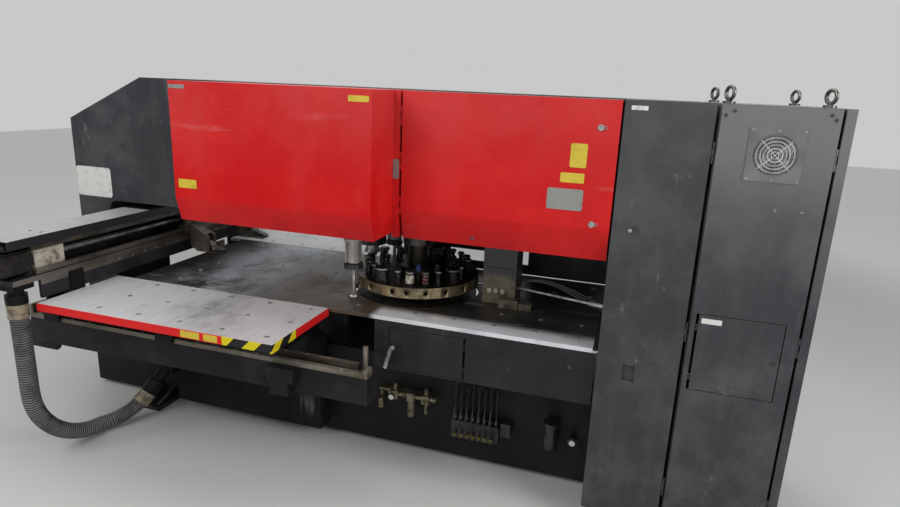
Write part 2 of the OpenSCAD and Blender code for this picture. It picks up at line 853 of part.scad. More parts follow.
// Outline of a red cover from the side: upright, then set back below the crease
module red_profile(front, bottom, inner) {
  w = inner ? sheet_t : 0;
  back = -half_d + (inner ? 1 : 0);
  polygon([
    [-front + w, cover_z - w], [-front + w, crease_z], [-front + setback + w, bottom + w],
    [back, bottom + w], [back, cover_z - w]
  ]);
}

// Red hood over the punching head, with the narrow strip that carries the red door's hinges
module red_hood() {
  hinge_strip_x = red_left - hinge_gap;
  color(press_red) {
    difference() {
      along_x(-hood_left, hood_right) red_profile(hood_y, hood_bottom, false);
      along_x(-hood_left + sheet_t, hood_right - sheet_t) red_profile(hood_y, hood_bottom, true);
    }
    block(hood_right, hinge_strip_x, -door_y, -door_y + sheet_t, red_sill, cover_z);
    block(hinge_strip_x - sheet_t, hinge_strip_x, -door_y + sheet_t, -bay_y, red_sill, cover_z);
    for (z = spread(red_hinge_z[0], red_hinge_z[1], 3))
      translate([red_left - hinge_off, -door_y + hinge_in + 1, z])
        fixed_hinge(hinge_gap - hinge_off, -1, hinge_h);
  }
}

// Housing behind the red door, open at the front
module door_bay() {
  color(charcoal) difference() {
    block(hood_right, throat_right, -bay_y, -half_d, red_sill, cover_z);
    block(hood_right + sheet_t, throat_right - sheet_t, -bay_y - 1, -half_d + 1,
      red_sill + sheet_t, cover_z - sheet_t);
  }
}

// Cover over the back of the frame's upper beam
module rear_hood() {
  guard_y = door_y - setback;
  color(charcoal) mirror([0, 1, 0]) difference() {
    along_x(-hood_left, throat_right) red_profile(door_y, hood_bottom, false);
    along_x(-hood_left + sheet_t, throat_right - sheet_t) red_profile(door_y, hood_bottom, true);
  }
  color(charcoal) difference() {
    block(-guard_left, throat_right, guard_y - sheet_t, guard_y, table_top + guard_lift, hood_bottom + 1);
    for (w = guard_windows) block(w[0], w[1], guard_y - sheet_t - 1, guard_y + 1, w[2], w[3]);
  }
}

module column_housing() {
  color(charcoal) {
    difference() {
      block(column_left, column_right, -housing_y, -half_d, cabinet_floor, frame_top);
      block(column_left + sheet_t, column_right - sheet_t, -housing_y - 1, -half_d + 1,
        cabinet_floor + sheet_t, frame_top - sheet_t);
    }
    for (z = spread(tall_hinge_z[0], tall_hinge_z[1], 3)) {
      translate([column_hinge_x, -door_y + hinge_in, z]) outer_knuckles(hinge_h);
      for (end = [-1, 1]) translate([0, 0, z + end * hinge_h / 3])
        block(column_right, column_hinge_x, -door_y + hinge_in, -housing_y + 20,
          -hinge_h / 6 + 0.5, hinge_h / 6 - 0.5);
    }
  }
}

// Control cabinet hung on the frame's right end, open at the front
module control_cabinet() {
  wall = cabinet_wall;
  color(charcoal) {
    difference() {
      block(cabinet_left, cabinet_right, -housing_y, cabinet_back, cabinet_floor, frame_top);
      block(cabinet_left + wall, cabinet_right - wall, -housing_y - 1, cabinet_back - wall,
        cabinet_floor + wall, frame_top - wall);
    }
    block(cabinet_right - post_w, cabinet_right, -door_y, -housing_y, cabinet_floor, frame_top);
    for (z = spread(tall_hinge_z[0], tall_hinge_z[1], 3))
      translate([cabinet_door_right + hinge_off, -door_y + hinge_in, z])
        fixed_hinge(hinge_gap - hinge_off, 1, hinge_h);
    for (z = [throat_floor + 100, frame_top - 412])
      block(frame_right, cabinet_left, -half_d / 2, half_d / 2, z, z + 200);
    for (x = [cabinet_left + 20, cabinet_right - 20 - leg_side],
      y = [-housing_y + 20, cabinet_back - 20 - leg_side])
      block(x, x + leg_side, y, y + leg_side, 0, cabinet_floor);
  }
}

module eyebolts() {
  color(bare_steel) for (x = [cabinet_left + 38, cabinet_right - 70],
    y = [-housing_y + 105, cabinet_back - 115]) translate([x, y, frame_top]) {
    cylinder(r = 26, h = 10);
    cylinder(r = 12, h = 24);
    translate([0, 0, 10 + eye_r]) rotate([0, 90, 30])
      rotate_extrude() translate([eye_r - eye_wire_r, 0]) circle(eye_wire_r, $fn = 24);
  }
}

// Mounting plate inside the cabinet with drives, contactors, a power supply and wiring ducts
module electrical_plate() {
  plate_y = cabinet_back - 60;
  margin = 40;
  x0 = cabinet_left + margin;
  x1 = cabinet_right - margin;
  mid = (x0 + x1) / 2;
  drive_dx = (x1 - x0) * 0.3;
  contactor_dx = drive_dx / 2;
  transformer_w = drive_dx * 2.7;
  color(bare_steel) {
    block(x0, x1, plate_y, plate_y + sheet_t, skirt_z + 60, frame_top - 80);
    for (z = [skirt_z + 120, frame_top - 160], x = [x0 + 10, x1 - 30])
      block(x, x + 20, plate_y + sheet_t, cabinet_back - cabinet_wall, z, z + 20);
  }
  color(cream) for (z = [260, 740, 1240, 1760])
    block(x0 + 10, x1 - 10, plate_y - 60, plate_y, z, z + 60);
  color(dark_steel) {
    for (i = [-1 : 1]) let (x = mid + i * drive_dx)
      block(x - drive_dx * 0.42, x + drive_dx * 0.42, plate_y - 180, plate_y, 1350, 1700);
    for (i = [-2.5 : 2.5]) let (x = mid + i * contactor_dx)
      block(x - contactor_dx * 0.4, x + contactor_dx * 0.4, plate_y - 85, plate_y, 1000, 1090);
    block(mid - transformer_w / 2, mid + transformer_w / 2, plate_y - 150, plate_y, 400, 620);
  }
}

// Oil valves and accumulator on the frame behind the red door
module valve_bank() {
  valve_dx = 80;
  valve_x = red_left + 209;
  valve_z = crease_z + 74;
  tank_x = red_left + 79;
  tank_top = frame_top - 132;
  color(dark_steel) {
    block(valve_x - 50, valve_x + 4 * valve_dx - 30, -half_d - 90, -half_d, valve_z - 50, valve_z + 50);
    block(red_right - 363, red_right - 123, -half_d - 70, -half_d, crease_z - 36, frame_top - 262);
  }
  color(bare_steel) for (i = [0 : 3]) {
    rod_y(24, -half_d - 190, -half_d - 90, valve_x + i * valve_dx, valve_z);
    rod_z(18, valve_x + i * valve_dx, -half_d - 45, valve_z + 50, valve_z + 120);
  }
  color(charcoal) {
    block(tank_x - 10, tank_x + 10, -half_d - 30, -half_d, tank_top - 140, tank_top - 100);
    rod_z(65, tank_x, -half_d - 95, tank_top - 220, tank_top);
  }
}

module ram_housing() {
  flange_h = 26;
  color(dark_steel) translate([punch_x, 0, 0]) {
    difference() {
      union() {
        rod_z(ram_r, 0, 0, ram_z, throat_top);
        rod_z(ram_r + flange_h, 0, 0, throat_top - flange_h, throat_top);
      }
      rod_z(striker_r + run_gap, 0, 0, ram_z - 1, throat_top - 10);
    }
    for (a = [0 : 60 : 300]) rotate([0, 0, a])
      translate([ram_r + flange_h / 2, 0, throat_top - flange_h - 12]) cylinder(r = 9, h = 12, $fn = 6);
  }
}

// Air cylinders that press the sheet down while it is gripped anew, with their brackets
module holder_cylinders() {
  plate_t = 18;
  bore_r = rod_r + run_gap;
  back = holder_y - half_d;
  both_sides() translate([-holder_x, -holder_y, 0]) {
    color(dark_steel) {
      rod_z(holder_r, 0, 0, cylinder_top, cylinder_top + plate_t);
      difference() {
        rod_z(holder_r, 0, 0, holder_z, cylinder_z);
        rod_z(bore_r, 0, 0, holder_z - 1, cylinder_z + 1);
      }
      block(-holder_r, holder_r, -holder_r, back, cylinder_top + plate_t, cylinder_top + 2 * plate_t);
      block(-holder_r, holder_r, back - plate_t, back, cylinder_top + 2 * plate_t, throat_top + 64);
    }
    color(bare_steel) {
      difference() {
        rod_z(cylinder_r, 0, 0, cylinder_z, cylinder_top);
        rod_z(bore_r, 0, 0, cylinder_z - 1, cylinder_top - 6);
      }
      for (a = [45 : 90 : 315]) rotate([0, 0, a])
        rod_z(5, holder_r - 9, 0, cylinder_z, cylinder_top, $fn = 16);
    }
  }
}

// Piston rod of a work holder, with the pad that presses on the sheet
module holder_rod() {
  pad_z = table_top + 1;
  color(bare_steel) translate([-holder_x, -holder_y, 0]) {
    rod_z(rod_r, 0, 0, pad_z + 23, cylinder_top - 47);
    translate([0, 0, pad_z + 8]) cylinder(r1 = pad_r, r2 = rod_r + 5, h = 15);
    rod_z(pad_r, 0, 0, pad_z, pad_z + 8);
  }
}
module front_holder_rod() { holder_rod(); }
module rear_holder_rod() { mirror([0, 1, 0]) holder_rod(); }

// Bearings of the two turrets, on the throat's ceiling and on its floor
module turret_bearings() {
  color(dark_steel) translate([turret_x, 0, 0]) {
    difference() {
      union() {
        rod_z(bearing_r, 0, 0, bearing_z, throat_top);
        rod_z(shaft_r + 70, 0, 0, throat_top - 30, throat_top);
      }
      rod_z(shaft_r + run_gap, 0, 0, bearing_z - 1, throat_top - 4);
    }
    difference() {
      union() {
        rod_z(bearing_r, 0, 0, throat_floor, throat_floor + 190);
        rod_z(shaft_r + 90, 0, 0, throat_floor, throat_floor + 30);
      }
      rod_z(shaft_r + run_gap, 0, 0, throat_floor + 4, throat_floor + 191);
    }
  }
}

// Post beside the turret with the cylinder of the index pin
module index_housing() {
  front = -index_d / 2;
  color(dark_steel) {
    difference() {
      block(index_x, index_x + index_w, front, -front, throat_floor, throat_top);
      rod_x(index_pin_r + run_gap, index_x - 1, index_x + 120, 0, rim_z);
    }
    for (z = [upper_z1 + 60, throat_top - 80])
      block(index_x + 20, index_x + index_w - 20, front - 6, front, z, z + 40);
    block(index_x + 110, index_x + 220, front - 64, front - 14, table_top, table_top + 50);
  }
  color(cream) {
    for (y = [-26, 26]) rod_x(9, index_x - 24, index_x, y, rim_z + 30);
    for (i = [0 : 2]) rod_y(14, front - 22, front, index_x + 45 + i * 38, rim_z);
    block(index_x + 225, index_x + 295, front - 60, front - 15, table_top, table_top + 35);
  }
}

module index_pin() {
  pin_x = turret_x + upper_r + 12;
  color(bare_steel) rod_x(index_pin_r, pin_x, pin_x + 128, 0, rim_z);
}

// Slanted stop rod across the right of the table, from the index post to the column
module locator_rod() {
  start = [index_x + index_w, -1, table_top + 80];
  finish = [throat_right, -133, table_top + 80];
  d = unit(finish - start);
  color(bare_steel) intersection() {
    block(start.x, finish.x, -index_d, index_d, table_top, throat_top);
    union() {
      pointing(start - 40 * d, d) cylinder(r = 7, h = norm(finish - start) + 80);
      pointing(finish - 90 * d, d) cylinder(r = 12, h = 130);
    }
  }
}

// Filter regulator unit on the frame, below the front panel
module air_unit() {
  y = -half_d - 70;
  unit_x = [air_x + 40, air_x + 140, air_x + 230];
  cup_x = air_x - 51;
  color(bare_steel) {
    rod_x(14, air_x, air_x + 290, y, air_z);
    for (x = unit_x) block(x - 22, x + 22, y - 24, y + 24, air_z - 24, air_z + 26);
    rod_z(22, unit_x[1], y, air_z - 124, air_z - 24);
    rod_z(10, unit_x[2], y, air_z - 92, air_z - 24);
    for (x = [unit_x[0], unit_x[2]]) rod_z(12, x, y, air_z + 26, air_z + 66);
    rod_z(18, cup_x, y, air_z - 102, air_z - 42);
    block(air_x - 70, air_x + 290, y + 24, -half_d, air_z - 8, air_z + 8);
    block(cup_x - 7, cup_x + 7, y + 14, -half_d, air_z - 62, air_z - 8);
  }
}

// Distribution block of the oil lines, with the oil filter and its gauge
module oil_unit() {
  filter_y = -half_d - 75;
  filter_x = oil_x + 565;
  gauge_x = oil_x + 682;
  oil_l = 8 * oil_pitch + 4;
  color(dark_steel) {
    block(oil_x, oil_x + oil_l, oil_y - 20, oil_y + 20, oil_z, oil_top);
    for (x = [oil_x, oil_x + oil_l - rib_t])
      block(x, x + rib_t, oil_y + 20, -half_d, oil_z + 20, oil_z + 80);
    block(oil_x + oil_l + 8, oil_x + oil_l + 64, oil_y - 16, -half_d, oil_z + 50, oil_z + 130);
    rod_z(filter_r, filter_x, filter_y, oil_z + 50, oil_z + 180);
    rod_z(filter_r + 6, filter_x, filter_y, oil_z + 180, oil_z + 204);
    block(filter_x - 25, filter_x + 25, filter_y + 30, -half_d, oil_z + 184, oil_z + 202);
    rod_y(gauge_r, filter_y - 4, filter_y + 22, gauge_x, oil_z + 106);
    block(gauge_x - 8, gauge_x + 8, filter_y + 22, -half_d, oil_z + 98, oil_z + 114);
  }
  color(brassy) {
    for (i = [0 : 7])
      rod_z(9, oil_x + oil_pitch * (i + 0.5), oil_y, oil_top, oil_top + oil_port_h, $fn = 16);
    for (i = [0 : 6]) rod_y(8, oil_y - 40, oil_y - 20, oil_x + oil_pitch * (i + 1), oil_z + 36);
  }
}

// Thin oil lines from the distribution block to the frame, and air lines from post to column
module service_lines() {
  line_r = 3.5;
  post_x = index_x + index_w;
  color(black_rubber) {
    for (i = [0 : 7]) {
      p = [oil_x + oil_pitch * (i + 0.5), oil_y, oil_top + oil_port_h];
      q = [p.x, -half_d, throat_floor - 40 - (i % 3) * 14];
      tube(bend(p, p + [0, 0, 120], q - [0, 110, 0], q, 14), [0, 0, 1], [0, 1, 0], [1, 0, 0], line_r, 8);
    }
    for (i = [0 : 6]) {
      p = [oil_x + oil_pitch * (i + 1), oil_y - 40, oil_z + 36];
      q = [p.x, -half_d, throat_floor - 120 - (i % 2) * 16];
      tube(bend(p, p - [0, 130, 0], q - [0, 190, 0], q, 16), [0, -1, 0], [0, 1, 0], [1, 0, 0], line_r, 8);
    }
    for (i = [0 : 2]) {
      p = [post_x, 16 + i * 14, upper_z1];
      q = [throat_right, -60 + i * 14, table_top + 25 + i * 12];
      tube(bend(p, p + [190, 0, 60], q - [190, 0, -60], q, 16), [1, 0, 0], [1, 0, 0], [0, 1, 0], line_r, 8);
    }
  }
}

module cable_hose() {
  color(black_rubber) tube(hose_route, [0, 0, -1], hose_end_dir, [1, 0, 0], hose_r, 12);
}

// Bracket box with the hose's upper collar, under the beam's near end
module beam_collar() {
  x = hose_start.x;
  y = hose_start.y;
  z = hose_start.z;
  color(charcoal) {
    block(x - 60, x + 60, y - 56, y + 60, beam_bottom - 30, beam_bottom);
    rod_z(hose_r - 8, x, y, z + 50, beam_bottom - 30);
  }
  color(rail_brown) rod_z(hose_r + 6, x, y, z, z + 50);
}

// Open channel beam, with the slide's rails at top and bottom
module carriage_beam() {
  y0 = -beam_half + 152;
  y1 = beam_half - 60;
  color(charcoal) along_y(-beam_half, beam_half) polygon([
    [beam_x, beam_bottom], [beam_face, beam_bottom], [beam_face, beam_floor],
    [beam_x + beam_wall, beam_floor], [beam_x + beam_wall, beam_ceiling],
    [beam_face - 30, beam_ceiling], [beam_face - 30, beam_top], [beam_x, beam_top]
  ]);
  for (run = [[y0, -guide_y - leg_half], [leg_half - guide_y, guide_y - leg_half], [guide_y + leg_half, -y0]])
    color(charcoal) block(beam_face - skirt_t, beam_face, run[0], run[1], table_top + skirt_lift, beam_bottom);
  color(rail_brown) {
    block(low_rail_x, low_rail_x + beam_rail_w, y0, y1, beam_floor, beam_floor + rail_h);
    block(high_rail_x, high_rail_x + beam_rail_w, y0, y1, beam_ceiling - rail_h, beam_ceiling);
  }
}

// Channel covers on top of the beam: two pale ends and a dark middle
module beam_covers() {
  x0 = beam_x - (cover_w - beam_w) / 2;
  x1 = x0 + cover_w;
  t = cover_t;
  low = cover_top - cover_flange;
  runs = [[-beam_half - 10, -half_d - 2], [-half_d, half_d], [half_d + 2, beam_half + 10]];
  for (i = [0 : 2]) color(i == 1 ? charcoal : bare_steel) {
    difference() {
      along_y(runs[i][0], runs[i][1]) polygon([
        [x0, cover_top], [x1, cover_top], [x1, low], [x1 - t, low], [x1 - t, cover_top - t],
        [x0 + t, cover_top - t], [x0 + t, low], [x0, low]
      ]);
      if (i == 0) for (x = [x0 + 77, x0 + 156])
        rod_z(9, x, -beam_half + 222, cover_top - t - 1, cover_top + 1);
    }
    for (y = [runs[i][0] + 60, runs[i][1] - 90])
      block(x0 + t, x1 - t - slide_lap, y, y + 30, beam_top, cover_top - t);
  }
}

// Bearing blocks of the ball screw
module screw_supports() {
  runs = [
    [-beam_half + support_in, -beam_half + support_in + front_support_l],
    [beam_half - support_in - rear_support_l - 47, beam_half - support_in - 47]
  ];
  color(cream) for (run = runs) difference() {
    block(screw_x - 40, screw_x + 44, run[0], run[1], beam_floor, screw_z + 44);
    rod_y(screw_r + run_gap, run[0] - 1, run[1] + 1, screw_x, screw_z);
  }
}

// Square servo motor with notched corners, end cap and coupling
module servo_motor() {
  y0 = motor_y - motor_len;
  h = motor_w / 2;
  notch = 10;
  color(dark_steel) {
    difference() {
      block(screw_x - h, screw_x + h, y0, motor_y, screw_z - h, screw_z + h);
      for (sx = [-1, 1], sz = [-1, 1])
        translate([screw_x + sx * h, (y0 + motor_y) / 2 + 7, screw_z + sz * h])
          cube([2 * notch, motor_len - 46, 2 * notch], center = true);
    }
    rod_y(44, motor_y, motor_y + 26, screw_x, screw_z);
    block(screw_x - h, screw_x + h, motor_y - 40, motor_y, beam_floor, screw_z - h);
    rod_y(h - 8, y0 - 40, y0, screw_x, screw_z);
  }
}

// Saddle under each side table: rail blocks, base plate, leg up to the beam and table ribs
module saddle() {
  y0 = -guide_y - saddle_half;
  y1 = -guide_y + saddle_half;
  leg_y0 = -guide_y - leg_half;
  leg_y1 = -guide_y + leg_half;
  rib_y0 = side_y0 + 30;
  rib_y1 = side_y0 + side_d - 30;
  rib_x = [saddle_x + saddle_l * 0.34, saddle_x + saddle_l * 0.64, saddle_x + saddle_l - 20];
  wall = 20;
  for (x = [saddle_x, saddle_x + saddle_l - block_l], y = [-guide_y - rail_out, -guide_y + rail_out])
    difference() {
      block(x, x + block_l, y - block_w / 2, y + block_w / 2, guide_top + block_lift, block_top);
      block(x - 1, x + block_l + 1, y - rail_w / 2 - rail_gap, y + rail_w / 2 + rail_gap,
        guide_top, rail_top + rail_gap);
    }
  block(saddle_x, saddle_x + saddle_l, y0, y1, block_top, saddle_top);
  difference() {
    block(saddle_x, saddle_x + leg_w, leg_y0, leg_y1, saddle_top, beam_bottom);
    block(saddle_x + wall, saddle_x + leg_w - wall, leg_y0 - 1, leg_y1 - wall,
      saddle_top + wall, beam_bottom - wall);
  }
  for (x = rib_x) along_x(x, x + rib_t) polygon([
    [y0, saddle_top], [y1, saddle_top], [rib_y1, table_under - 40],
    [rib_y1, table_under], [rib_y0, table_under], [rib_y0, table_under - 40]
  ]);
}

module saddles() { color(charcoal) both_sides() saddle(); }

module side_tables() {
  color(bare_steel) both_sides()
    block(side_x, side_x + side_w, side_y0, side_y0 + side_d, table_under, table_top);
}

// Painted band round the open edges of the side tables
module table_edges() {
  x1 = side_x + side_w;
  color(press_red) both_sides() {
    block(side_x, x1 + edge_t, side_y0 - edge_t, side_y0, edge_bottom, table_top);
    block(x1, x1 + edge_t, side_y0, side_y0 + side_d, edge_bottom, table_top);
  }
}

module side_balls() {
  first_x = side_x + 335;
  color(bare_steel) both_sides() for (i = [0 : 4], row = [0 : 2])
    ball_unit(first_x + i * side_ball_dx, side_y0 + side_d - 55 - row * side_ball_dy);
}

module ball_screw() {
  color(bare_steel) rod_y(screw_r, motor_y + 30, beam_half - 200, screw_x, screw_z);
}

// Plate with four rail blocks and the nut of the ball screw
module cross_slide() {
  y0 = slide_y - slide_len / 2;
  y1 = slide_y + slide_len / 2;
  join_x = beam_face - slide_lap + 0.5;
  high_z = beam_ceiling - rail_h - 18;
  nut_half = 60;
  color(rail_brown) {
    block(join_x, slide_face, y0, y1, slide_floor, beam_top - 60);
    for (y = [y0, y1 - block_l]) {
      difference() {
        block(low_rail_x - 18, join_x, y, y + block_l, slide_floor, beam_floor + rail_h + 20);
        block(low_rail_x - rail_gap, low_rail_x + beam_rail_w + rail_gap, y - 1, y + block_l + 1,
          beam_floor, beam_floor + rail_h + rail_gap);
      }
      difference() {
        block(high_rail_x - 14, join_x, y, y + block_l, high_z, beam_ceiling - 4);
        block(high_rail_x - rail_gap, high_rail_x + beam_rail_w + rail_gap, y - 1, y + block_l + 1,
          beam_ceiling - rail_h - rail_gap, beam_ceiling);
      }
    }
    difference() {
      union() {
        rod_y(34, slide_y - nut_half, slide_y + nut_half, screw_x, screw_z);
        block(screw_x, join_x, slide_y - 40, slide_y + 40, screw_z - 26, screw_z + 26);
      }
      rod_y(screw_r + run_gap, slide_y - nut_half - 1, slide_y + nut_half + 1, screw_x, screw_z);
    }
  }
}

// Forked clamp body with the lower lip that goes under the sheet's edge
module clamp_body(y) {
  w = clamp_w / 2;
  cheek = w - 16;
  lip_z = clamp_floor + lip_t;
  difference() {
    along_y(y - w, y + w) polygon([
      [slide_face, table_top + 40], [slide_face + 50, clamp_floor], [clamp_tip, clamp_floor],
      [clamp_tip, lip_z], [jaw_pivot_x + 34, lip_z + 3], [jaw_pivot_x + 34, table_top + 118],
      [jaw_pivot_x - 30, table_top + 150], [slide_face, table_top + 200]
    ]);
    block(jaw_pivot_x - 36, clamp_tip + 1, y - cheek, y + cheek, lip_z, table_top + 130);
    rod_y(jaw_pin_r + run_gap, y - w - 1, y + w + 1, jaw_pivot_x, jaw_pivot_z);
  }
}

module work_clamps() {
  color(rail_brown) for (side = [-1, 1]) clamp_body(slide_y + side * clamp_half_gap);
}

// Upper jaw that rocks on a pin between the cheeks of the clamp body
module clamp_jaw(y) {
  w = clamp_w / 2 - 17;
  jaw_z = clamp_floor + lip_t + jaw_gap;
  color(bare_steel) {
    along_y(y - w, y + w) polygon([
      [jaw_pivot_x - 20, jaw_pivot_z - 22], [jaw_pivot_x + 10, jaw_z], [clamp_tip, jaw_z],
      [clamp_tip, jaw_z + 11], [jaw_pivot_x + 44, jaw_z + 31], [jaw_pivot_x + 20, jaw_pivot_z + 22],
      [jaw_pivot_x - 20, jaw_pivot_z + 22]
    ]);
    rod_y(jaw_pin_r, y - clamp_w / 2 - 4, y + clamp_w / 2 + 4, jaw_pivot_x, jaw_pivot_z);
  }
}
module front_jaw() { clamp_jaw(slide_y - clamp_half_gap); }
module rear_jaw() { clamp_jaw(slide_y + clamp_half_gap); }

module at_station(s, r) {
  translate([turret_x, 0, 0]) rotate([0, 0, s]) translate([r, 0, 0]) children();
}

// Upper disc with station bores, radial locating holes and its shaft
module upper_turret() {
  color(brassy) difference() {
    union() {
      rod_z(upper_r, turret_x, 0, upper_z0, upper_z1, $fn = 96);
      rod_z(hub_r, turret_x, 0, upper_z1, upper_z1 + 40);
      rod_z(shaft_r, turret_x, 0, upper_z1, throat_top - 10);
    }
    for (s = all_stations) {
      at_station(s[0], station_r) rod_z(s[1] + run_gap, 0, 0, upper_z0 - 1, upper_z1 + 1, $fn = 24);
      at_station(s[0] + 180, 0) rod_x(rim_hole_r, upper_r - rim_hole_d, upper_r + 1, 0, rim_z);
    }
    for (a = inner_angles) at_station(a, inner_r)
      rod_z(small_punch_r + run_gap, 0, 0, upper_z0 - 1, upper_z1 + 1, $fn = 24);
  }
}

// Punch with its guide as one turned body: tip, guide, flange, stem and head
module fixed_punch(r, head) {
  stem = r * stem_share;
  tip = r * tip_share;
  rotate_extrude($fn = 24) polygon([
    [0, guide_z + 1], [tip, guide_z + 1], [tip, guide_z + 14], [stem, guide_z + 14], [stem, guide_z],
    [r - 1, guide_z], [r, guide_z + 1], [r, flange_z - 5], [r + 4, flange_z - 5], [r + 4, flange_z],
    [stem, flange_z], [stem, head], [r + 3, head], [r + 5, head + 3], [r + 5, head + head_t - 3],
    [r + 2, head + head_t], [0, head + head_t]
  ]);
}

// Guide of the working station, bored for the sliding punch
module open_guide(r) {
  bore = r * stem_share + run_gap;
  rotate_extrude($fn = 24) polygon([
    [bore, guide_z], [r - 1, guide_z], [r, guide_z + 1], [r, flange_z - 5], [r + 4, flange_z - 5],
    [r + 4, flange_z], [bore, flange_z]
  ]);
}

module punches() {
  color(dark_steel) {
    at_station(stations[0][0], station_r) open_guide(stations[0][1]);
    for (i = [1 : len(stations) - 1]) at_station(stations[i][0], station_r)
      fixed_punch(stations[i][1], head_z);
    for (a = inner_angles) at_station(a, inner_r) fixed_punch(small_punch_r, head_z - 20);
  }
}

// Punch in the station under the ram, free to slide in its guide
module working_punch() {
  r = stations[0][1];
  stem = r * stem_share;
  tip = r * tip_share;
  color(dark_steel) at_station(stations[0][0], station_r) rotate_extrude($fn = 24) polygon([
    [0, guide_z + 1], [tip, guide_z + 1], [tip, guide_z + 14], [stem, guide_z + 14], [stem, head_z],
    [r + 3, head_z], [r + 5, head_z + 3], [r + 5, head_top - 3], [r + 2, head_top], [0, head_top]
  ]);
}

// Coil spring that lifts the working punch again, drawn at rest
module working_spring() {
  turns = 4;
  steps = 12;
  sides = 6;
  coil_r = stations[0][1] - 1;
  z0 = flange_z + spring_seat + wire_r;
  rise = head_z - spring_seat - wire_r - z0;
  n = turns * steps;
  color(bare_steel) at_station(stations[0][0], station_r) skin([
    for (i = [0 : n], k = [0 : sides - 1])
      let (t = 360 * i / steps, p = 360 * k / sides, q = coil_r + wire_r * cos(p))
      [q * cos(t), q * sin(t), z0 + rise * i / n + wire_r * sin(p)]
  ], sides);
}

// Lower disc with its hub and shaft
module lower_turret() {
  color(dark_steel) difference() {
    union() {
      rod_z(lower_r, turret_x, 0, lower_z0, lower_z1, $fn = 96);
      rod_z(hub_r, turret_x, 0, lower_z0 - 30, lower_z0);
      rod_z(shaft_r, turret_x, 0, throat_floor + 14, lower_z0);
    }
    for (s = all_stations) at_station(s[0], station_r)
      rod_z(s[1] + die_wall, 0, 0, lower_z0 - 1, lower_z1 + 1, $fn = 24);
    for (a = inner_angles) at_station(a, inner_r)
      rod_z(small_punch_r + die_wall, 0, 0, lower_z0 - 1, lower_z1 + 1, $fn = 24);
  }
}

module die(r) {
  die_h = 30;
  difference() {
    rod_z(r + die_wall, 0, 0, lower_z1 - die_h, lower_z1, $fn = 24);
    rod_z(r * tip_share + die_gap, 0, 0, lower_z1 - die_h - 1, lower_z1 + 1, $fn = 24);
  }
}

// Dies seated in the lower disc
module dies() {
  color(bare_steel) {
    for (s = all_stations) at_station(s[0], station_r) die(s[1]);
    for (a = inner_angles) at_station(a, inner_r) die(small_punch_r);
  }
}

module striker() {
  color(bare_steel) {
    rod_z(striker_r + 8, punch_x, 0, striker_z, striker_z + striker_foot);
    rod_z(striker_r, punch_x, 0, striker_z + striker_foot, throat_top - 20);
  }
}

// Red door with the crease of the hood beside it
module red_door() {
  color(press_red) {
    difference() {
      along_x(red_left, red_right) polygon([
        [-door_y, cover_z], [-door_y, crease_z], [-door_y + setback, red_bottom],
        [-bay_y - 1, red_bottom], [-bay_y - 1, cover_z]
      ]);
      along_x(red_left + sheet_t, red_right - sheet_t) polygon([
        [-door_y + sheet_t, cover_z - sheet_t], [-door_y + sheet_t, crease_z],
        [-door_y + setback + sheet_t, red_bottom + sheet_t], [-bay_y, red_bottom + sheet_t],
        [-bay_y, cover_z - sheet_t]
      ]);
      for (z = lock_z) rod_y(lock_r + run_gap, -door_y - 1, -door_y + sheet_t + 1, lock_x, z);
    }
    for (z = spread(red_hinge_z[0], red_hinge_z[1], 3))
      translate([red_left - hinge_off, -door_y + hinge_in + 1, z]) door_hinge(hinge_off, 1, hinge_h);
  }
}

module cam_lock(z) {
  back = -door_y + sheet_t + 8;
  color(bare_steel) {
    rod_y(lock_r, -door_y - 5, back, lock_x, z);
    block(lock_x - 8, lock_x + 8 + cam_l, back, back + cam_t, z - 8, z + 8);
  }
}
module upper_lock() { cam_lock(lock_z[1]); }
module lower_lock() { cam_lock(lock_z[0]); }

// Tall door of the column, with a latch and a grip recess
module column_door() {
  grip_w = 56;
  grip_h = 86;
  grip_d = 18;
  wall = 3;
  color(charcoal) {
    difference() {
      union() {
        folded_door(column_door_left, column_door_right, skirt_z, cover_z, door_y, door_d);
        block(recess_x - grip_w / 2 - wall, recess_x + grip_w / 2 + wall, -door_y + 1,
          -door_y + grip_d + wall, recess_z - grip_h / 2 - wall, recess_z + grip_h / 2 + wall);
      }
      block(recess_x - grip_w / 2, recess_x + grip_w / 2, -door_y - 1, -door_y + grip_d,
        recess_z - grip_h / 2, recess_z + grip_h / 2);
      rod_y(latch_r + run_gap, -door_y - 1, -door_y + sheet_t + 1, latch_x, latch_z);
    }
    for (z = spread(tall_hinge_z[0], tall_hinge_z[1], 3))
      translate([column_hinge_x, -door_y + hinge_in, z])
        door_hinge(hinge_off + door_gap, -1, hinge_h);
  }
}

module column_latch() {
  back = -door_y + sheet_t + 8;
  color(dark_steel) {
    rod_y(latch_r, -door_y - 3, back, latch_x, latch_z);
    block(latch_x - 62, latch_x + 8, back, back + cam_t, latch_z - 9, latch_z + 9);
  }
}

module cabinet_door() {
  color(charcoal) {
    difference() {
      folded_door(cabinet_door_left, cabinet_door_right, skirt_z, cover_z, door_y, door_d);
      rod_y(fan_r - 6, -door_y - 1, -door_y + sheet_t + 1, fan_x, fan_z);
      block(flap_axis_x - 8, flap_right + door_gap, -door_y - 1, -door_y + sheet_t + 1,
        flap_bottom - door_gap, flap_top + door_gap);
    }
    for (z = spread(tall_hinge_z[0], tall_hinge_z[1], 3))
      translate([cabinet_door_right + hinge_off, -door_y + hinge_in, z])
        door_hinge(hinge_off, -1, hinge_h);
    for (z = [flap_bottom + 60, flap_top - 60])
      translate([flap_axis_x, -door_y + hinge_in, z]) fixed_hinge(hinge_gap + 4, -1, flap_hinge_h);
  }
}

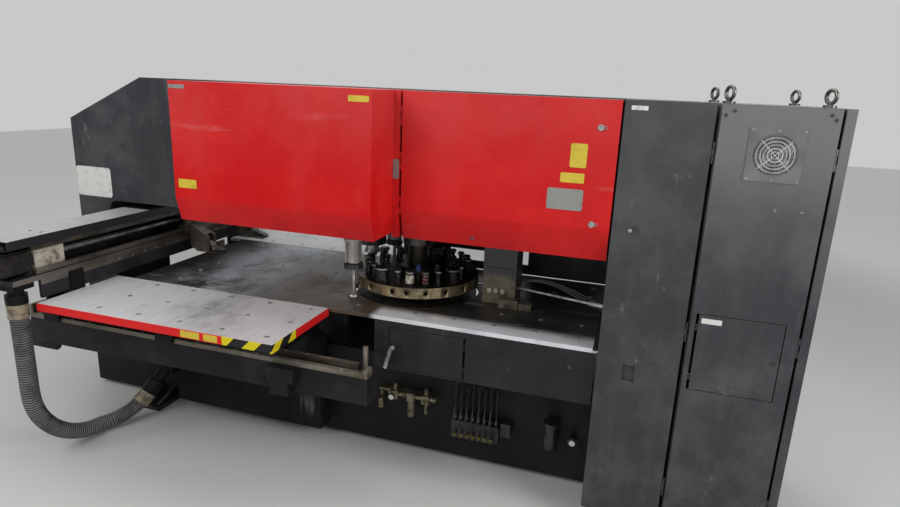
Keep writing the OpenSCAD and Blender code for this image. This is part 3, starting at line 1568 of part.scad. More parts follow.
// Access flap in the lower half of the cabinet door
module access_flap() {
  color(charcoal) {
    difference() {
      folded_door(flap_axis_x + hinge_off, flap_right, flap_bottom, flap_top, door_y, flap_d);
      rod_y(10 + run_gap, -door_y - 1, -door_y + sheet_t + 1, flap_latch_x, flap_latch_z);
    }
    for (z = [flap_bottom + 60, flap_top - 60])
      translate([flap_axis_x, -door_y + hinge_in, z]) door_hinge(hinge_off, 1, flap_hinge_h);
  }
}

module flap_latch() {
  color(dark_steel) translate([flap_latch_x, -door_y, flap_latch_z]) {
    rod_y(10, -3, flap_d + 1, 0, 0);
    translate([-9, flap_d + 1, -7]) cube([52, cam_t, 14]);
  }
}

// Grille plate, screwed on outside, and the fan's frame inside the door
module fan_frame() {
  front = -door_y;
  inner = front + sheet_t;
  grille_t = 3;
  frame_d = 38;
  color(charcoal) {
    difference() {
      block(fan_x - fan_r - 22, fan_x + fan_r + 22, front - grille_t, front,
        fan_z - fan_r - 26, fan_z + fan_r + 22);
      rod_y(fan_r, front - grille_t - 1, front + 1, fan_x, fan_z);
    }
    for (r = [14 : 14 : 70]) difference() {
      rod_y(r + 2, front - grille_t, front, fan_x, fan_z);
      rod_y(r - 2, front - grille_t - 1, front + 1, fan_x, fan_z);
    }
    for (a = [45, 135]) translate([fan_x, front - grille_t / 2, fan_z]) rotate([0, a, 0])
      cube([2 * fan_r + 2, grille_t, 4], center = true);
  }
  color(dark_steel) {
    difference() {
      block(fan_x - fan_r - 6, fan_x + fan_r + 6, inner, inner + frame_d,
        fan_z - fan_r - 6, fan_z + fan_r + 6);
      rod_y(fan_r - 3, inner - 1, inner + frame_d + 1, fan_x, fan_z);
    }
    rod_y(30, inner + 27, inner + 37, fan_x, fan_z);
    for (a = [45, 135]) translate([fan_x, inner + 32, fan_z]) rotate([0, a, 0])
      cube([2 * fan_r, 8, 8], center = true);
    rod_y(4, inner + 8, inner + 28, fan_x, fan_z);
  }
}

// Hub with seven pitched blades
module fan_rotor() {
  inner = -door_y + sheet_t;
  blade_l = fan_r - 34;
  color(dark_steel) difference() {
    union() {
      rod_y(28, inner + 3, inner + 25, fan_x, fan_z);
      for (i = [0 : 6]) translate([fan_x, inner + 14, fan_z]) rotate([0, i * 360 / 7, 0])
        translate([25, 0, 0]) rotate([35, 0, 0]) translate([0, -1, -15]) cube([blade_l, 2, 30]);
    }
    rod_y(4 + run_gap, inner + 7, inner + 27, fan_x, fan_z);
  }
}

bridge_frame();
foot_plates();
guide_beams();
pedestals();
fixed_table();
table_balls();
front_panel();
red_hood();
door_bay();
rear_hood();
column_housing();
control_cabinet();
eyebolts();
electrical_plate();
valve_bank();
ram_housing();
holder_cylinders();
turret_bearings();
index_housing();
locator_rod();
air_unit();
oil_unit();
service_lines();
cable_hose();
carriage_beam();
beam_covers();
screw_supports();
servo_motor();
saddles();
side_tables();
table_edges();
side_balls();
beam_collar();
ball_screw();
cross_slide();
work_clamps();
front_jaw();
rear_jaw();
upper_turret();
punches();
working_spring();
lower_turret();
dies();
striker();
working_punch();
front_holder_rod();
rear_holder_rod();
index_pin();
red_door();
upper_lock();
lower_lock();
column_door();
column_latch();
cabinet_door();
fan_frame();
fan_rotor();
access_flap();
flap_latch();
hatch_door();
hatch_handle();
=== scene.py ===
import json
import math
import bmesh
import bpy
from mathutils import Matrix, Vector

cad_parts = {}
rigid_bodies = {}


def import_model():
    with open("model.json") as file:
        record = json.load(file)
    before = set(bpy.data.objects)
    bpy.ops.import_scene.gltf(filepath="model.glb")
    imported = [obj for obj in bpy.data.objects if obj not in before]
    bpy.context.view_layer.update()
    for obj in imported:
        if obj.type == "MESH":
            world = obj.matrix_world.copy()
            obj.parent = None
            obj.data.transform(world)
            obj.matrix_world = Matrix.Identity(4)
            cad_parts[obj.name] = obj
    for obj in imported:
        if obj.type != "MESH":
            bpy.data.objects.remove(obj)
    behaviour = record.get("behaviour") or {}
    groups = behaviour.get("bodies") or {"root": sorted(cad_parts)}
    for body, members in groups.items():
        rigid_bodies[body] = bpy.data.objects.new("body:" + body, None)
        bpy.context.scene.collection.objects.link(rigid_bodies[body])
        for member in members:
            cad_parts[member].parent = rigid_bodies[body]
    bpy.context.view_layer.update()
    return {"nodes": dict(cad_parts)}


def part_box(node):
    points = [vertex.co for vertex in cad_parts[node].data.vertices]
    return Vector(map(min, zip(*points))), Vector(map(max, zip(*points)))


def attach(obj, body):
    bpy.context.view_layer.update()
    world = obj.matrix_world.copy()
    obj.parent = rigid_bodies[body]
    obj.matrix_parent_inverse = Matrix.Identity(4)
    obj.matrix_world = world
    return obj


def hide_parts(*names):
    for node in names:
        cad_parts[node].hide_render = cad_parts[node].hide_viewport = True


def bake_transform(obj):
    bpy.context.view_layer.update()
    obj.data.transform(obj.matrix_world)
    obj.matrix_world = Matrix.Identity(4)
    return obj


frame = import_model()
cad = frame["nodes"]
scene = bpy.context.scene

# ------------ camera
# The machine is seen from the front and a little to the right, from about head
# height, with a short lens that is tilted slightly to one side.
def show(name, data):
    """Puts a mesh, a lamp or a camera in the scene as an object."""
    made = bpy.data.objects.new(name, data)
    scene.collection.objects.link(made)
    return made


YAW, PITCH, ROLL = 0.293229418, 0.261894955, 0.0424126319
EYE = (1.370, -3.375, 2.130)
SENSOR_WIDTH, PHOTO_WIDTH, FOCAL_PIXELS = 36, 900, 619.4466
ahead = Vector((-math.sin(YAW) * math.cos(PITCH), math.cos(YAW) * math.cos(PITCH), -math.sin(PITCH)))
level = Vector((math.cos(YAW), math.sin(YAW), 0))
upright = level.cross(ahead)
right = level * math.cos(ROLL) + upright * math.sin(ROLL)
up = upright * math.cos(ROLL) - level * math.sin(ROLL)
lens = bpy.data.cameras.new("photo_camera")
lens.sensor_width = SENSOR_WIDTH
lens.lens = SENSOR_WIDTH * FOCAL_PIXELS / PHOTO_WIDTH
camera = show("photo_camera", lens)
camera.matrix_world = Matrix([(right[i], up[i], -ahead[i], EYE[i]) for i in range(3)] + [(0, 0, 0, 1)])
scene.camera = camera
scene.view_settings.view_transform = "Standard"


# ------------ cable hose
# Ribbed black rubber conduit, 92 mm over its ribs, that takes the motor cables from
# the travelling beam down to a box at the base; a tan cuff is clamped on each end.
def place(bm, name, body, finish, smooth=False):
    """Turns a bmesh into a piece with the given finish that rides on a body."""
    bmesh.ops.recalc_face_normals(bm, faces=bm.faces)
    mesh = bpy.data.meshes.new(name)
    bm.to_mesh(mesh)
    bm.free()
    mesh.materials.append(finish)
    for face in mesh.polygons:
        face.use_smooth = smooth
    piece = show(name, mesh)
    if body:
        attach(piece, body)
    return piece


def smooth_path(points, step, per_span=20):
    """Points every step metres on a smooth curve through the given points."""
    dense = []
    for i in range(len(points) - 1):
        p0, p1 = points[max(i - 1, 0)], points[i]
        p2, p3 = points[i + 1], points[min(i + 2, len(points) - 1)]
        for k in range(per_span):
            t = k / per_span
            dense.append(0.5 * (2 * p1 + (p2 - p0) * t + (2 * p0 - 5 * p1 + 4 * p2 - p3) * t * t
                                + (3 * p1 - p0 - 3 * p2 + p3) * t ** 3))
    dense.append(points[-1])
    even, left = [dense[0]], step
    for a, b in zip(dense, dense[1:]):
        gap = (b - a).length
        while gap >= left and gap > 0:
            a = a.lerp(b, left / gap)
            even.append(a)
            gap, left = (b - a).length, step
        left -= gap
    if (even[-1] - dense[-1]).length > step * 0.3:
        even.append(dense[-1])
    else:
        even[-1] = dense[-1]
    return even


def skin(bm, rings):
    """Faces between rings of equal length, with a cap on each end."""
    sides = len(rings[0])
    for low, high in zip(rings, rings[1:]):
        for k in range(sides):
            n = (k + 1) % sides
            bm.faces.new((low[k], low[n], high[n], high[k]))
    bm.faces.new(rings[0][::-1])
    bm.faces.new(rings[-1])


def full_turn(sides):
    return [2 * math.pi * k / sides for k in range(sides)]


def tube(bm, path, radius, sides):
    """Round tube along a path; radius gives the radius of each ring by its number."""
    rings = []
    for i, p in enumerate(path):
        d = (path[min(i + 1, len(path) - 1)] - path[max(i - 1, 0)]).normalized()
        a = Vector((1, 0, 0)).cross(d).normalized()
        b = d.cross(a)
        rings.append([bm.verts.new(p + radius(i) * (math.cos(t) * a + math.sin(t) * b))
                      for t in full_turn(sides)])
    skin(bm, rings)


def put(tree, socket, value):
    """Gives a socket a number, a colour, a material or what comes out of another node."""
    if isinstance(value, bpy.types.NodeSocket):
        tree.links.new(value, socket)
    else:
        socket.default_value = (*value, 1) if socket.type == "RGBA" else value


def add_node(tree, kind, inputs=(), out=0, **settings):
    """A node with its inputs set by name or number; gives back one of its outputs."""
    made = tree.nodes.new(kind)
    for key, value in settings.items():
        setattr(made, key, value)
    for label, value in dict(inputs).items():
        for one in value if isinstance(value, list) else [value]:
            put(tree, made.inputs[label], one)
    return made.outputs[out]


def grey(shade):
    return shade, shade, shade


class Finish:
    """A procedural material on Object coordinates, built up node by node."""

    def __init__(self, name):
        self.material = bpy.data.materials.new(name)
        self.material.use_nodes = True
        self.tree = self.material.node_tree
        self.shader = self.tree.nodes["Principled BSDF"]
        self.coords = self.node("ShaderNodeTexCoord", out="Object")

    def node(self, kind, inputs=(), out=0, **settings):
        return add_node(self.tree, kind, inputs, out, **settings)

    def noise(self, scale, detail=4, stretch=(1, 1, 1), roughness=0.6, turn=(0, 0, 0)):
        """Cloudy pattern; scale is in cells per metre."""
        spot = self.node("ShaderNodeMapping", {"Vector": self.coords, "Scale": stretch, "Rotation": turn})
        return self.node("ShaderNodeTexNoise", {"Vector": spot, "Scale": scale, "Detail": detail,
                                                "Roughness": roughness})

    def spread(self, value, low, high, to_low=0.0, to_high=1.0):
        """Maps low..high smoothly to to_low..to_high."""
        limits = {"Value": value, "From Min": low, "From Max": high, "To Min": to_low, "To Max": to_high}
        return self.node("ShaderNodeMapRange", limits, interpolation_type="SMOOTHSTEP")

    def clouds(self, scale, detail, low, high, to_low=0.0, to_high=1.0, **shape):
        """Cloudy pattern with its low..high spread to to_low..to_high."""
        return self.spread(self.noise(scale, detail, **shape), low, high, to_low, to_high)

    def scratches(self, scale, stretch, turn, fine=0.66):
        """Short pale lines along one way, 1 on a line and 0 beside it."""
        lines = self.noise(scale, 3, stretch, 0.55, turn)
        gaps = self.clouds(scale * 0.35, 3, 0.46, 0.62)
        return self.times(self.spread(lines, fine, fine + 0.05), gaps)

    def maths(self, operation, a, b=0):
        return self.node("ShaderNodeMath", {0: a, 1: b}, operation=operation)

    def times(self, a, b):
        return self.maths("MULTIPLY", a, b)

    def plus(self, a, b):
        return self.maths("ADD", a, b)

    def either(self, a, b):
        return self.maths("MAXIMUM", a, b)

    def over(self, value, limit):
        """1 where value is more than limit, else 0."""
        return self.maths("GREATER_THAN", value, limit)

    def under(self, value, limit):
        return self.maths("LESS_THAN", value, limit)

    def squares(self, a, b):
        """Square of a distance from its two parts."""
        return self.plus(self.times(a, a), self.times(b, b))

    def band(self, value, rise, fall, rest=0.0):
        """Rises from 0 to 1 over the first pair of limits and falls to rest over the second."""
        return self.times(self.spread(value, *rise), self.spread(value, *fall, 1, rest))

    def turns(self, value, pitch):
        """0 to 1 over each pitch, again and again."""
        return self.maths("FRACT", self.times(value, 1 / pitch))

    def mix(self, amount, low, high):
        """Colour between low and high; each is a colour or a socket."""
        return self.node("ShaderNodeMix", {0: amount, 6: low, 7: high}, 2, data_type="RGBA")

    def coat(self, colour, where, amount, shade):
        """Lays a shade over a colour where the pattern says, at most by amount."""
        return self.mix(self.times(where, amount), colour, shade)

    def place_on(self, axis):
        """The x, y or z of the surface point, in metres."""
        return self.node("ShaderNodeSeparateXYZ", {0: self.coords}, axis)

    def facing_up(self):
        """1 on faces that look up, 0 on the others."""
        normal = self.node("ShaderNodeTexCoord", out="Normal")
        return self.spread(self.node("ShaderNodeSeparateXYZ", {0: normal}, 2), 0.5, 0.95)

    def set(self, **inputs):
        """Sets the shader's own sockets; an underscore stands for a space."""
        for label, value in inputs.items():
            put(self.tree, self.shader.inputs[label.replace("_", " ")], value)

    def bump(self, height, distance, strength):
        self.set(Normal=self.node("ShaderNodeBump", {"Height": height, "Distance": distance,
                                                     "Strength": strength}))

    def done(self, colour, roughness, metallic=0.0, gloss=0.5):
        self.set(Base_Color=colour, Roughness=roughness, Metallic=metallic, Specular_IOR_Level=gloss)
        return self.material


def hose_rubber():
    f = Finish("hose_rubber")
    dust = f.clouds(9, 5, 0.36, 0.62)
    specks = f.clouds(160, 2, 0.45, 0.7)
    colour = f.mix(dust, (0.050, 0.049, 0.048), (0.190, 0.185, 0.178))
    colour = f.coat(colour, specks, 0.35, (0.25, 0.24, 0.23))
    f.bump(f.noise(220, 3), 0.0006, 0.6)
    return f.done(colour, f.spread(dust, 0, 1, 0.42, 0.72))


# Near-black rubber: painted shade in the grooves between the hose's ribs, and the real black rubber of the
# lips.
def rubber_and_groove_shade():
    f = Finish("rubber_and_groove_shade")
    f.bump(f.noise(220, 3), 0.0006, 0.6)
    return f.done(f.mix(f.noise(30, 3), grey(0.006), grey(0.016)), 0.6)


def cuff_rubber():
    f = Finish("cuff_rubber")
    dirt = f.clouds(24, 5, 0.40, 0.66)
    f.bump(f.noise(150, 3), 0.0004, 0.5)
    return f.done(f.mix(dirt, (0.27, 0.225, 0.155), (0.085, 0.072, 0.055)), 0.6)


HOSE_ROUTE = [Vector(p) / 1000 for p in (
    (-1660, -1120, 950), (-1660, -1120, 840), (-1660, -1120, 740), (-1660, -1120, 640),
    (-1660, -1120, 540), (-1660, -1120, 434), (-1659, -1113, 359), (-1657, -1091, 286),
    (-1652, -1055, 219), (-1647, -1007, 160), (-1640, -949, 112), (-1632, -883, 76),
    (-1624, -810, 54), (-1615, -735, 47), (-1581, -682, 52), (-1548, -631, 69),
    (-1517, -582, 95), (-1489, -538, 131), (-1465, -500, 175))]
HOSE_SIDES, RING_STEP = 28, 0.0034
RIB_RADII = (0.0385, 0.0450, 0.0460, 0.0450)
CUFF_RINGS, CLAMP_RINGS, CUFF_R, CLAMP_R = 24, (15, 16), 0.0510, 0.0482
rubber, groove = hose_rubber(), rubber_and_groove_shade()
hose_path = smooth_path(HOSE_ROUTE, RING_STEP)


def rings_from_end(i):
    return min(i, len(hose_path) - 1 - i)


def hose_radius(i):
    """Smooth cuff with a clamp groove at both ends, four rings to a rib between them."""
    if rings_from_end(i) < CUFF_RINGS:
        return CLAMP_R if rings_from_end(i) in CLAMP_RINGS else CUFF_R
    return RIB_RADII[i % 4]


bm = bmesh.new()
tube(bm, hose_path, hose_radius, HOSE_SIDES)
hose = place(bm, "ribbed_hose", None, rubber, smooth=True)
for finish in (groove, cuff_rubber()):
    hose.data.materials.append(finish)
for face in hose.data.polygons:
    ring = face.index // HOSE_SIDES
    if rings_from_end(ring) < CUFF_RINGS:
        face.material_index = 2
    # Faces in the grooves take the near-black rubber: painted shade between the ribs.
    elif ring % 4 in (0, 3):
        face.material_index = 1
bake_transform(hose)
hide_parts("cable_hose")


# ------------ floor and light
# A plain pale floor under a wide soft lamp over the front, weaker ones at the right,
# above and low in front, and an even pale surround.
def seen(tree):
    """1 where the eye meets the surface, directly, mirrored or through glass; 0 for light."""
    either = 0
    for kind in ("Is Camera Ray", "Is Glossy Ray", "Is Transmission Ray"):
        ray = add_node(tree, "ShaderNodeLightPath", out=kind)
        either = add_node(tree, "ShaderNodeMath", {0: either, 1: ray}, operation="MAXIMUM")
    return either


GLOW_STARTS, GLOW_FULL = 8, 50  # squared distance from the machine's middle, m2


def floor_paint():
    """Pale paint that glows a little for the eye where it is far from the machine."""
    f = Finish("floor_paint")
    far = f.spread(f.squares(f.place_on(0), f.place_on(1)), GLOW_STARTS, GLOW_FULL, 0, 0.20)
    f.set(Emission_Color=(1, 1, 0.98), Emission_Strength=f.times(seen(f.tree), far))
    return f.done(f.mix(f.noise(0.7, 5), (0.50, 0.50, 0.49), (0.56, 0.56, 0.55)), 0.7)


bm = bmesh.new()
bmesh.ops.create_grid(bm, x_segments=2, y_segments=2, size=20)
floor_mesh = bpy.data.meshes.new("studio_floor")
bm.to_mesh(floor_mesh)
bm.free()
floor_mesh.materials.append(floor_paint())
floor = show("studio_floor", floor_mesh)
floor.location = (0, 2, -0.001)

LIT_SPOT = Vector((0.1, 0, 1.0))
for name, spot, size, power in (
        ("key_lamp", (-2.2, -4.2, 4.6), 3.2, 165),
        ("side_lamp", (5.0, -2.2, 3.2), 2.6, 135),
        ("top_lamp", (0.2, 0.4, 5.2), 4.5, 150),
        ("low_lamp", (0.8, -5.2, 1.3), 3.0, 18)):
    lamp = bpy.data.lights.new(name, "AREA")
    lamp.size = size
    lamp.energy = power
    holder = show(name, lamp)
    holder.location = spot
    holder.rotation_euler = (LIT_SPOT - Vector(spot)).to_track_quat("-Z", "Y").to_euler()

scene.world = bpy.data.worlds.new("surround")
scene.world.use_nodes = True
surround = scene.world.node_tree
sky = surround.nodes["Background"]
strength = add_node(surround, "ShaderNodeMapRange", {"Value": seen(surround), "To Min": 0.32, "To Max": 0.58})
put(surround, sky.inputs["Color"], (1, 1, 1))
put(surround, sky.inputs["Strength"], strength)


# ------------ charcoal frame and housings
# Welded steel plate frame, guide beams, covers and cabinets, all in the same satin
# charcoal paint: dusty on top, rubbed pale in patches, and darker low down as painted shade.
def wear(nodes, material, width=0.0):
    """Gives CAD nodes their finish, and rounds their edges by a small width."""
    for node in nodes.split():
        part = cad[node]
        part.data.materials.clear()
        part.data.materials.append(material)
        weld = part.modifiers.new("weld", "WELD")
        weld.merge_threshold = 0.00002
        if width:
            edge = part.modifiers.new("edge", "BEVEL")
            edge.width = width
            edge.segments = 2
            edge.limit_method = "ANGLE"
            edge.angle_limit = math.radians(40)
            edge.use_clamp_overlap = True
            edge.harden_normals = False


def charcoal_paint(name, depth=1.0, low_shade=0.0, dusty=1.0, high_dust=0.0, gloss=0.35):
    """depth scales the colour down: painted shade in the darker copies for low parts; low_shade blackens
    the lowest part as painted shade; dusty whitens top faces; high_dust greys the part above head height."""
    f = Finish(name)
    patches = f.clouds(2.3, 6, 0.44, 0.68, roughness=0.7)
    streaks = f.clouds(6, 5, 0.45, 0.72, stretch=(1.0, 1.0, 0.12))
    rubs = f.scratches(9, (1.0, 1.0, 0.09), (0, 0.35, 0))
    bruises = f.clouds(17, 6, 0.64, 0.72, roughness=0.75)
    deep, pale, streaky = (tuple(c * depth for c in shade) for shade in (
        (0.031, 0.032, 0.037), (0.064, 0.065, 0.071), (0.085, 0.086, 0.090)))
    colour = f.mix(patches, deep, pale)
    colour = f.coat(colour, streaks, 0.35, streaky)
    colour = f.coat(colour, rubs, 0.35, grey(0.20))
    colour = f.coat(colour, bruises, 0.22, grey(0.21))
    scuffs = f.times(f.clouds(15, 7, 0.60, 0.70, stretch=(1.0, 1.0, 0.45), roughness=0.75),
                     f.clouds(2.2, 3, 0.50, 0.62))
    colour = f.coat(colour, scuffs, 0.5 * dusty, grey(0.24))
    dust = f.times(f.facing_up(), f.clouds(5, 5, 0.3, 0.7, 0.35 * dusty, 0.8 * dusty))
    colour = f.mix(dust, colour, (0.15, 0.145, 0.14))
    if high_dust:
        high = f.times(f.spread(f.place_on(2), 1.30, 2.05), f.clouds(1.7, 6, 0.3, 0.6, 0.5, 1))
        colour = f.coat(colour, high, high_dust, (0.17, 0.172, 0.178))
    # Painted shade: the lowest part is blackened, in clouds, where it sits in shade.
    if low_shade:
        low = f.times(f.spread(f.place_on(2), 0.55, 1.25, 1, 0), f.clouds(3.3, 5, 0.30, 0.55, 0.8, 1.0))
        colour = f.coat(colour, low, low_shade, (0.009, 0.009, 0.010))
    f.bump(f.plus(f.noise(180, 3), f.noise(46, 2)), 0.0004, 0.35)
    return f.done(colour, f.spread(f.plus(patches, f.noise(34, 4)), 0.3, 1.5, 0.38, 0.62), gloss=gloss)


wear("bridge_frame", charcoal_paint("charcoal_paint_low_shade", low_shade=0.97, gloss=0.15), 0.003)
wear("rear_hood column_housing column_door", charcoal_paint("charcoal_paint", 0.85, high_dust=0.12), 0.0015)
wear("control_cabinet cabinet_door access_flap", charcoal_paint("charcoal_paint_dusty", high_dust=0.80), 0.0015)
# Darker copies of the same charcoal paint on the low parts: painted shade, as these parts sit in shade.
wear("front_panel hatch_door door_bay",
     charcoal_paint("charcoal_paint_in_shade", 0.34, dusty=0.3, gloss=0.22), 0.0015)
wear("pedestals beam_collar saddles",
     charcoal_paint("charcoal_paint_deep_shade", 0.20, dusty=0.15, gloss=0.10), 0.0015)


def beam_finish():
    """Dark paint; the rails in the beam, its lower flange and the skirt's top are oily bare steel."""
    f = Finish("beam_paint")
    x, z = f.place_on(0), f.place_on(2)
    body = f.mix(f.clouds(3, 6, 0.42, 0.66), (0.013, 0.013, 0.015), (0.032, 0.032, 0.036))
    oil = f.mix(f.clouds(7, 5, 0.35, 0.68, stretch=(1, 0.3, 1)), (0.17, 0.155, 0.135), (0.055, 0.046, 0.036))
    flange = f.times(f.band(z, (1.030, 1.034), (1.0875, 1.0885)), f.over(x, -1.5905))
    lower_rail = f.band(z, (1.0885, 1.0895), (1.1145, 1.1155))
    upper_rail = f.band(z, (1.2135, 1.2145), (1.2395, 1.2405))
    steel = f.either(flange, f.times(f.either(lower_rail, upper_rail), f.over(x, -1.655)))
    f.bump(f.noise(90, 3), 0.0004, 0.4)
    return f.done(f.mix(steel, body, oil), f.clouds(20, 4, 0.3, 0.7, 0.32, 0.55), f.times(steel, 0.4), 0.3)


wear("carriage_beam", beam_finish(), 0.0012)


# ------------ red covers
# Folded sheet covers over the punching head and the hydraulics, in a bright red
# that has faded in clouds, and darker in the lower, set-back part.
def red_paint():
    f = Finish("red_paint")
    clouds = f.clouds(2.0, 6, 0.40, 0.66, roughness=0.72)
    runs = f.clouds(5, 4, 0.48, 0.76, stretch=(1.0, 1.0, 0.10))
    freckles = f.clouds(48, 3, 0.58, 0.78)
    colour = f.mix(clouds, (0.50, 0.004, 0.005), (0.57, 0.013, 0.012))
    colour = f.coat(colour, runs, 0.22, (0.42, 0.036, 0.032))
    colour = f.coat(colour, freckles, 0.40, (0.30, 0.008, 0.008))
    haze = f.times(f.spread(f.place_on(2), 1.60, 2.05, 0, 0.55),
                   f.clouds(1.6, 6, 0.35, 0.6, 0.35, 1.0, roughness=0.75))
    colour = f.mix(haze, colour, (0.50, 0.050, 0.050))
    # Darker red in clouds below 1.56 m, over the lower, set-back part.
    grime = f.times(f.spread(f.place_on(2), 1.40, 1.56, 1, 0),
                    f.clouds(4, 5, 0.35, 0.7, 0.05, 0.55, stretch=(1, 1, 0.5)))
    colour = f.mix(grime, colour, (0.24, 0.008, 0.008))
    rubs = f.scratches(8, (0.12, 1.0, 1.0), (0, 0.2, 0), 0.68)
    colour = f.coat(colour, rubs, 0.25, (0.55, 0.20, 0.19))
    colour = f.coat(colour, f.facing_up(), 0.35, (0.30, 0.13, 0.12))
    f.bump(f.plus(f.noise(150, 3), f.noise(24, 3)), 0.0005, 0.3)
    return f.done(colour, f.spread(f.plus(clouds, freckles), 0, 1.6, 0.33, 0.58), gloss=0.18)


red = red_paint()
wear("red_hood", red, 0.0035)
wear("red_door", red, 0.0030)


# ------------ fixed table
# Ground steel plates, blackened by oil and rubbed bright in the sheets' lanes, with a painted sheen
# across the middle and left near black towards the beam as its painted shadow; a pale plate runs
# along the front of the turret.
TABLE_TOP = 0.950


def table_steel():
    f = Finish("oily_table_steel")
    x, y = f.place_on(0), f.place_on(1)
    clouds = f.noise(3.2, 7, roughness=0.72)
    lanes = f.noise(9, 5, (0.25, 1.0, 1.0), 0.65)
    colour = f.mix(f.spread(lanes, 0.3, 0.75), (0.013, 0.012, 0.011), (0.042, 0.040, 0.038))
    # Painted sheen: a blue-white reflection in a band across the middle of the table; towards the beam the
    # table stays near black, which stands in for the beam's shadow.
    painted_sheen = f.times(f.band(x, (-1.40, -1.00), (-0.75, -0.35)), f.spread(clouds, 0.36, 0.60))
    colour = f.mix(painted_sheen, colour, (0.33, 0.35, 0.38))
    brown = f.times(f.band(x, (-0.85, -0.40), (0.05, 0.55), 0.05), f.spread(clouds, 0.36, 0.62, 0.25, 1.0))
    colour = f.mix(brown, colour, (0.105, 0.075, 0.048))
    pale_plate = f.times(f.spread(y, -0.460, -0.378, 1, 0.10), f.spread(x, 0.069, 0.12))
    pale_plate = f.times(pale_plate, f.under(y, -0.3855))
    wiped = f.mix(f.clouds(7, 6, 0.26, 0.52, stretch=(0.5, 1, 1)), (0.40, 0.41, 0.43), (0.66, 0.68, 0.71))
    colour = f.mix(pale_plate, colour, wiped)
    rubs = f.scratches(12, (0.10, 1.6, 1.0), (0, 0, 0.2), 0.62)
    colour = f.coat(colour, rubs, 0.35, grey(0.42))
    f.bump(f.plus(f.noise(150, 3, (0.15, 1.0, 1.0)), f.noise(60, 3)), 0.0003, 0.35)
    return f.done(colour, f.spread(clouds, 0.3, 0.7, 0.26, 0.52), f.spread(lanes, 0.3, 0.8, 0.25, 0.45))


wear("fixed_table", table_steel(), 0.0008)


# ------------ side tables
# Travelling tables of brushed plate with a red painted edge; swept bright by the
# sheets, with dark smears of oil between the rows of ball transfers.
STRIPES_FROM_X, STRIPES_TO_Y, STRIPE_PITCH, YELLOW_FROM = -0.43, -0.88, 0.150, 0.55
edges_low, edges_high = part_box("table_edges")


def brushed_plate():
    f = Finish("brushed_plate")
    brush = f.noise(60, 4, (1.0, 0.06, 1.0))
    smears = f.noise(2.6, 7, (1.0, 0.55, 1.0), 0.75)
    colour = f.mix(f.spread(brush, 0.3, 0.7), (0.49, 0.495, 0.500), (0.57, 0.575, 0.580))
    colour = f.mix(f.spread(smears, 0.50, 0.70, 0, 0.75), colour, (0.21, 0.208, 0.200))
    colour = f.mix(f.spread(smears, 0.44, 0.30, 0, 0.5), colour, (0.60, 0.61, 0.63))
    colour = f.coat(colour, f.clouds(15, 5, 0.60, 0.75), 0.35, (0.17, 0.165, 0.155))
    rubs = f.scratches(10, (0.10, 1.2, 1.0), (0, 0, 0.1), 0.64)
    colour = f.coat(colour, rubs, 0.30, (0.16, 0.155, 0.15))
    f.bump(f.plus(brush, f.noise(120, 2)), 0.0003, 0.25)
    return f.done(colour, f.spread(smears, 0.3, 0.75, 0.52, 0.36), 0.22)


def hazard_edge():
    """Red edge band; round the right front corner it turns into slanted black and yellow stripes."""
    f = Finish("table_edge_paint")
    along = f.plus(f.place_on(0), f.place_on(1))
    first, last = STRIPES_FROM_X + edges_low[1], edges_high[0] + STRIPES_TO_Y
    striped = f.times(f.over(along, first), f.under(along, last))
    slanted = f.turns(f.maths("SUBTRACT", along, f.place_on(2)), STRIPE_PITCH)
    stripes = f.mix(f.over(slanted, YELLOW_FROM), grey(0.012), (0.62, 0.52, 0.01))
    colour = f.mix(striped, (0.60, 0.012, 0.012), stripes)
    f.bump(f.noise(120, 3), 0.0003, 0.3)
    return f.done(f.mix(f.clouds(24, 5, 0.56, 0.80, 0, 0.45), colour, (0.10, 0.03, 0.025)), 0.45, gloss=0.2)


def cover_plate():
    """Beam covers: brushed bare metal on the faces that look up, black on the others; in the middle,
    under the frame's throat, the black is a painted shadow of the frame.
    """
    f = Finish("cover_plate")
    brush = f.noise(40, 4, (0.08, 1.0, 1.0))
    pale = f.mix(f.spread(brush, 0.3, 0.7), (0.36, 0.365, 0.375), (0.46, 0.465, 0.475))
    pale = f.mix(f.clouds(6, 6, 0.55, 0.75, 0, 0.6), pale, grey(0.16))
    # Painted shadow: the top stays black between the frame's plates, where the frame shades it.
    outside_frame_shadow = f.spread(f.maths("ABSOLUTE", f.place_on(1)), 0.2445, 0.2455)
    top = f.times(f.facing_up(), outside_frame_shadow)
    f.bump(brush, 0.0003, 0.3)
    return f.done(f.mix(top, (0.012, 0.012, 0.014), pale), 0.42, f.times(top, 0.35))


wear("side_tables", brushed_plate(), 0.0008)
wear("table_edges", hazard_edge(), 0.0006)
wear("beam_covers", cover_plate(), 0.0010)


# ------------ oily machine steel
# Turned, ground and cast parts under a film of oil: rails, screw, bearings, tools.
# They are bolted or pressed in place; the index post and the guide beams are painted.
def bare_steel(name, pale, dark, roughness, metallic=0.9, cells=14, brown=0.0):
    """Steel between pale and dark under a film of oil; brown is its share of rust."""
    f = Finish(name)
    film = f.clouds(cells, 6, 0.38, 0.68, roughness=0.7)
    colour = f.mix(film, pale, dark)
    if brown:
        colour = f.coat(colour, f.clouds(cells * 2.3, 5, 0.52, 0.72), brown, (0.13, 0.075, 0.038))
    f.bump(f.plus(f.noise(260, 3), f.noise(70, 2)), 0.0003, 0.3)
    return f.done(colour, f.spread(film, 0, 1, roughness, roughness + 0.18), metallic)


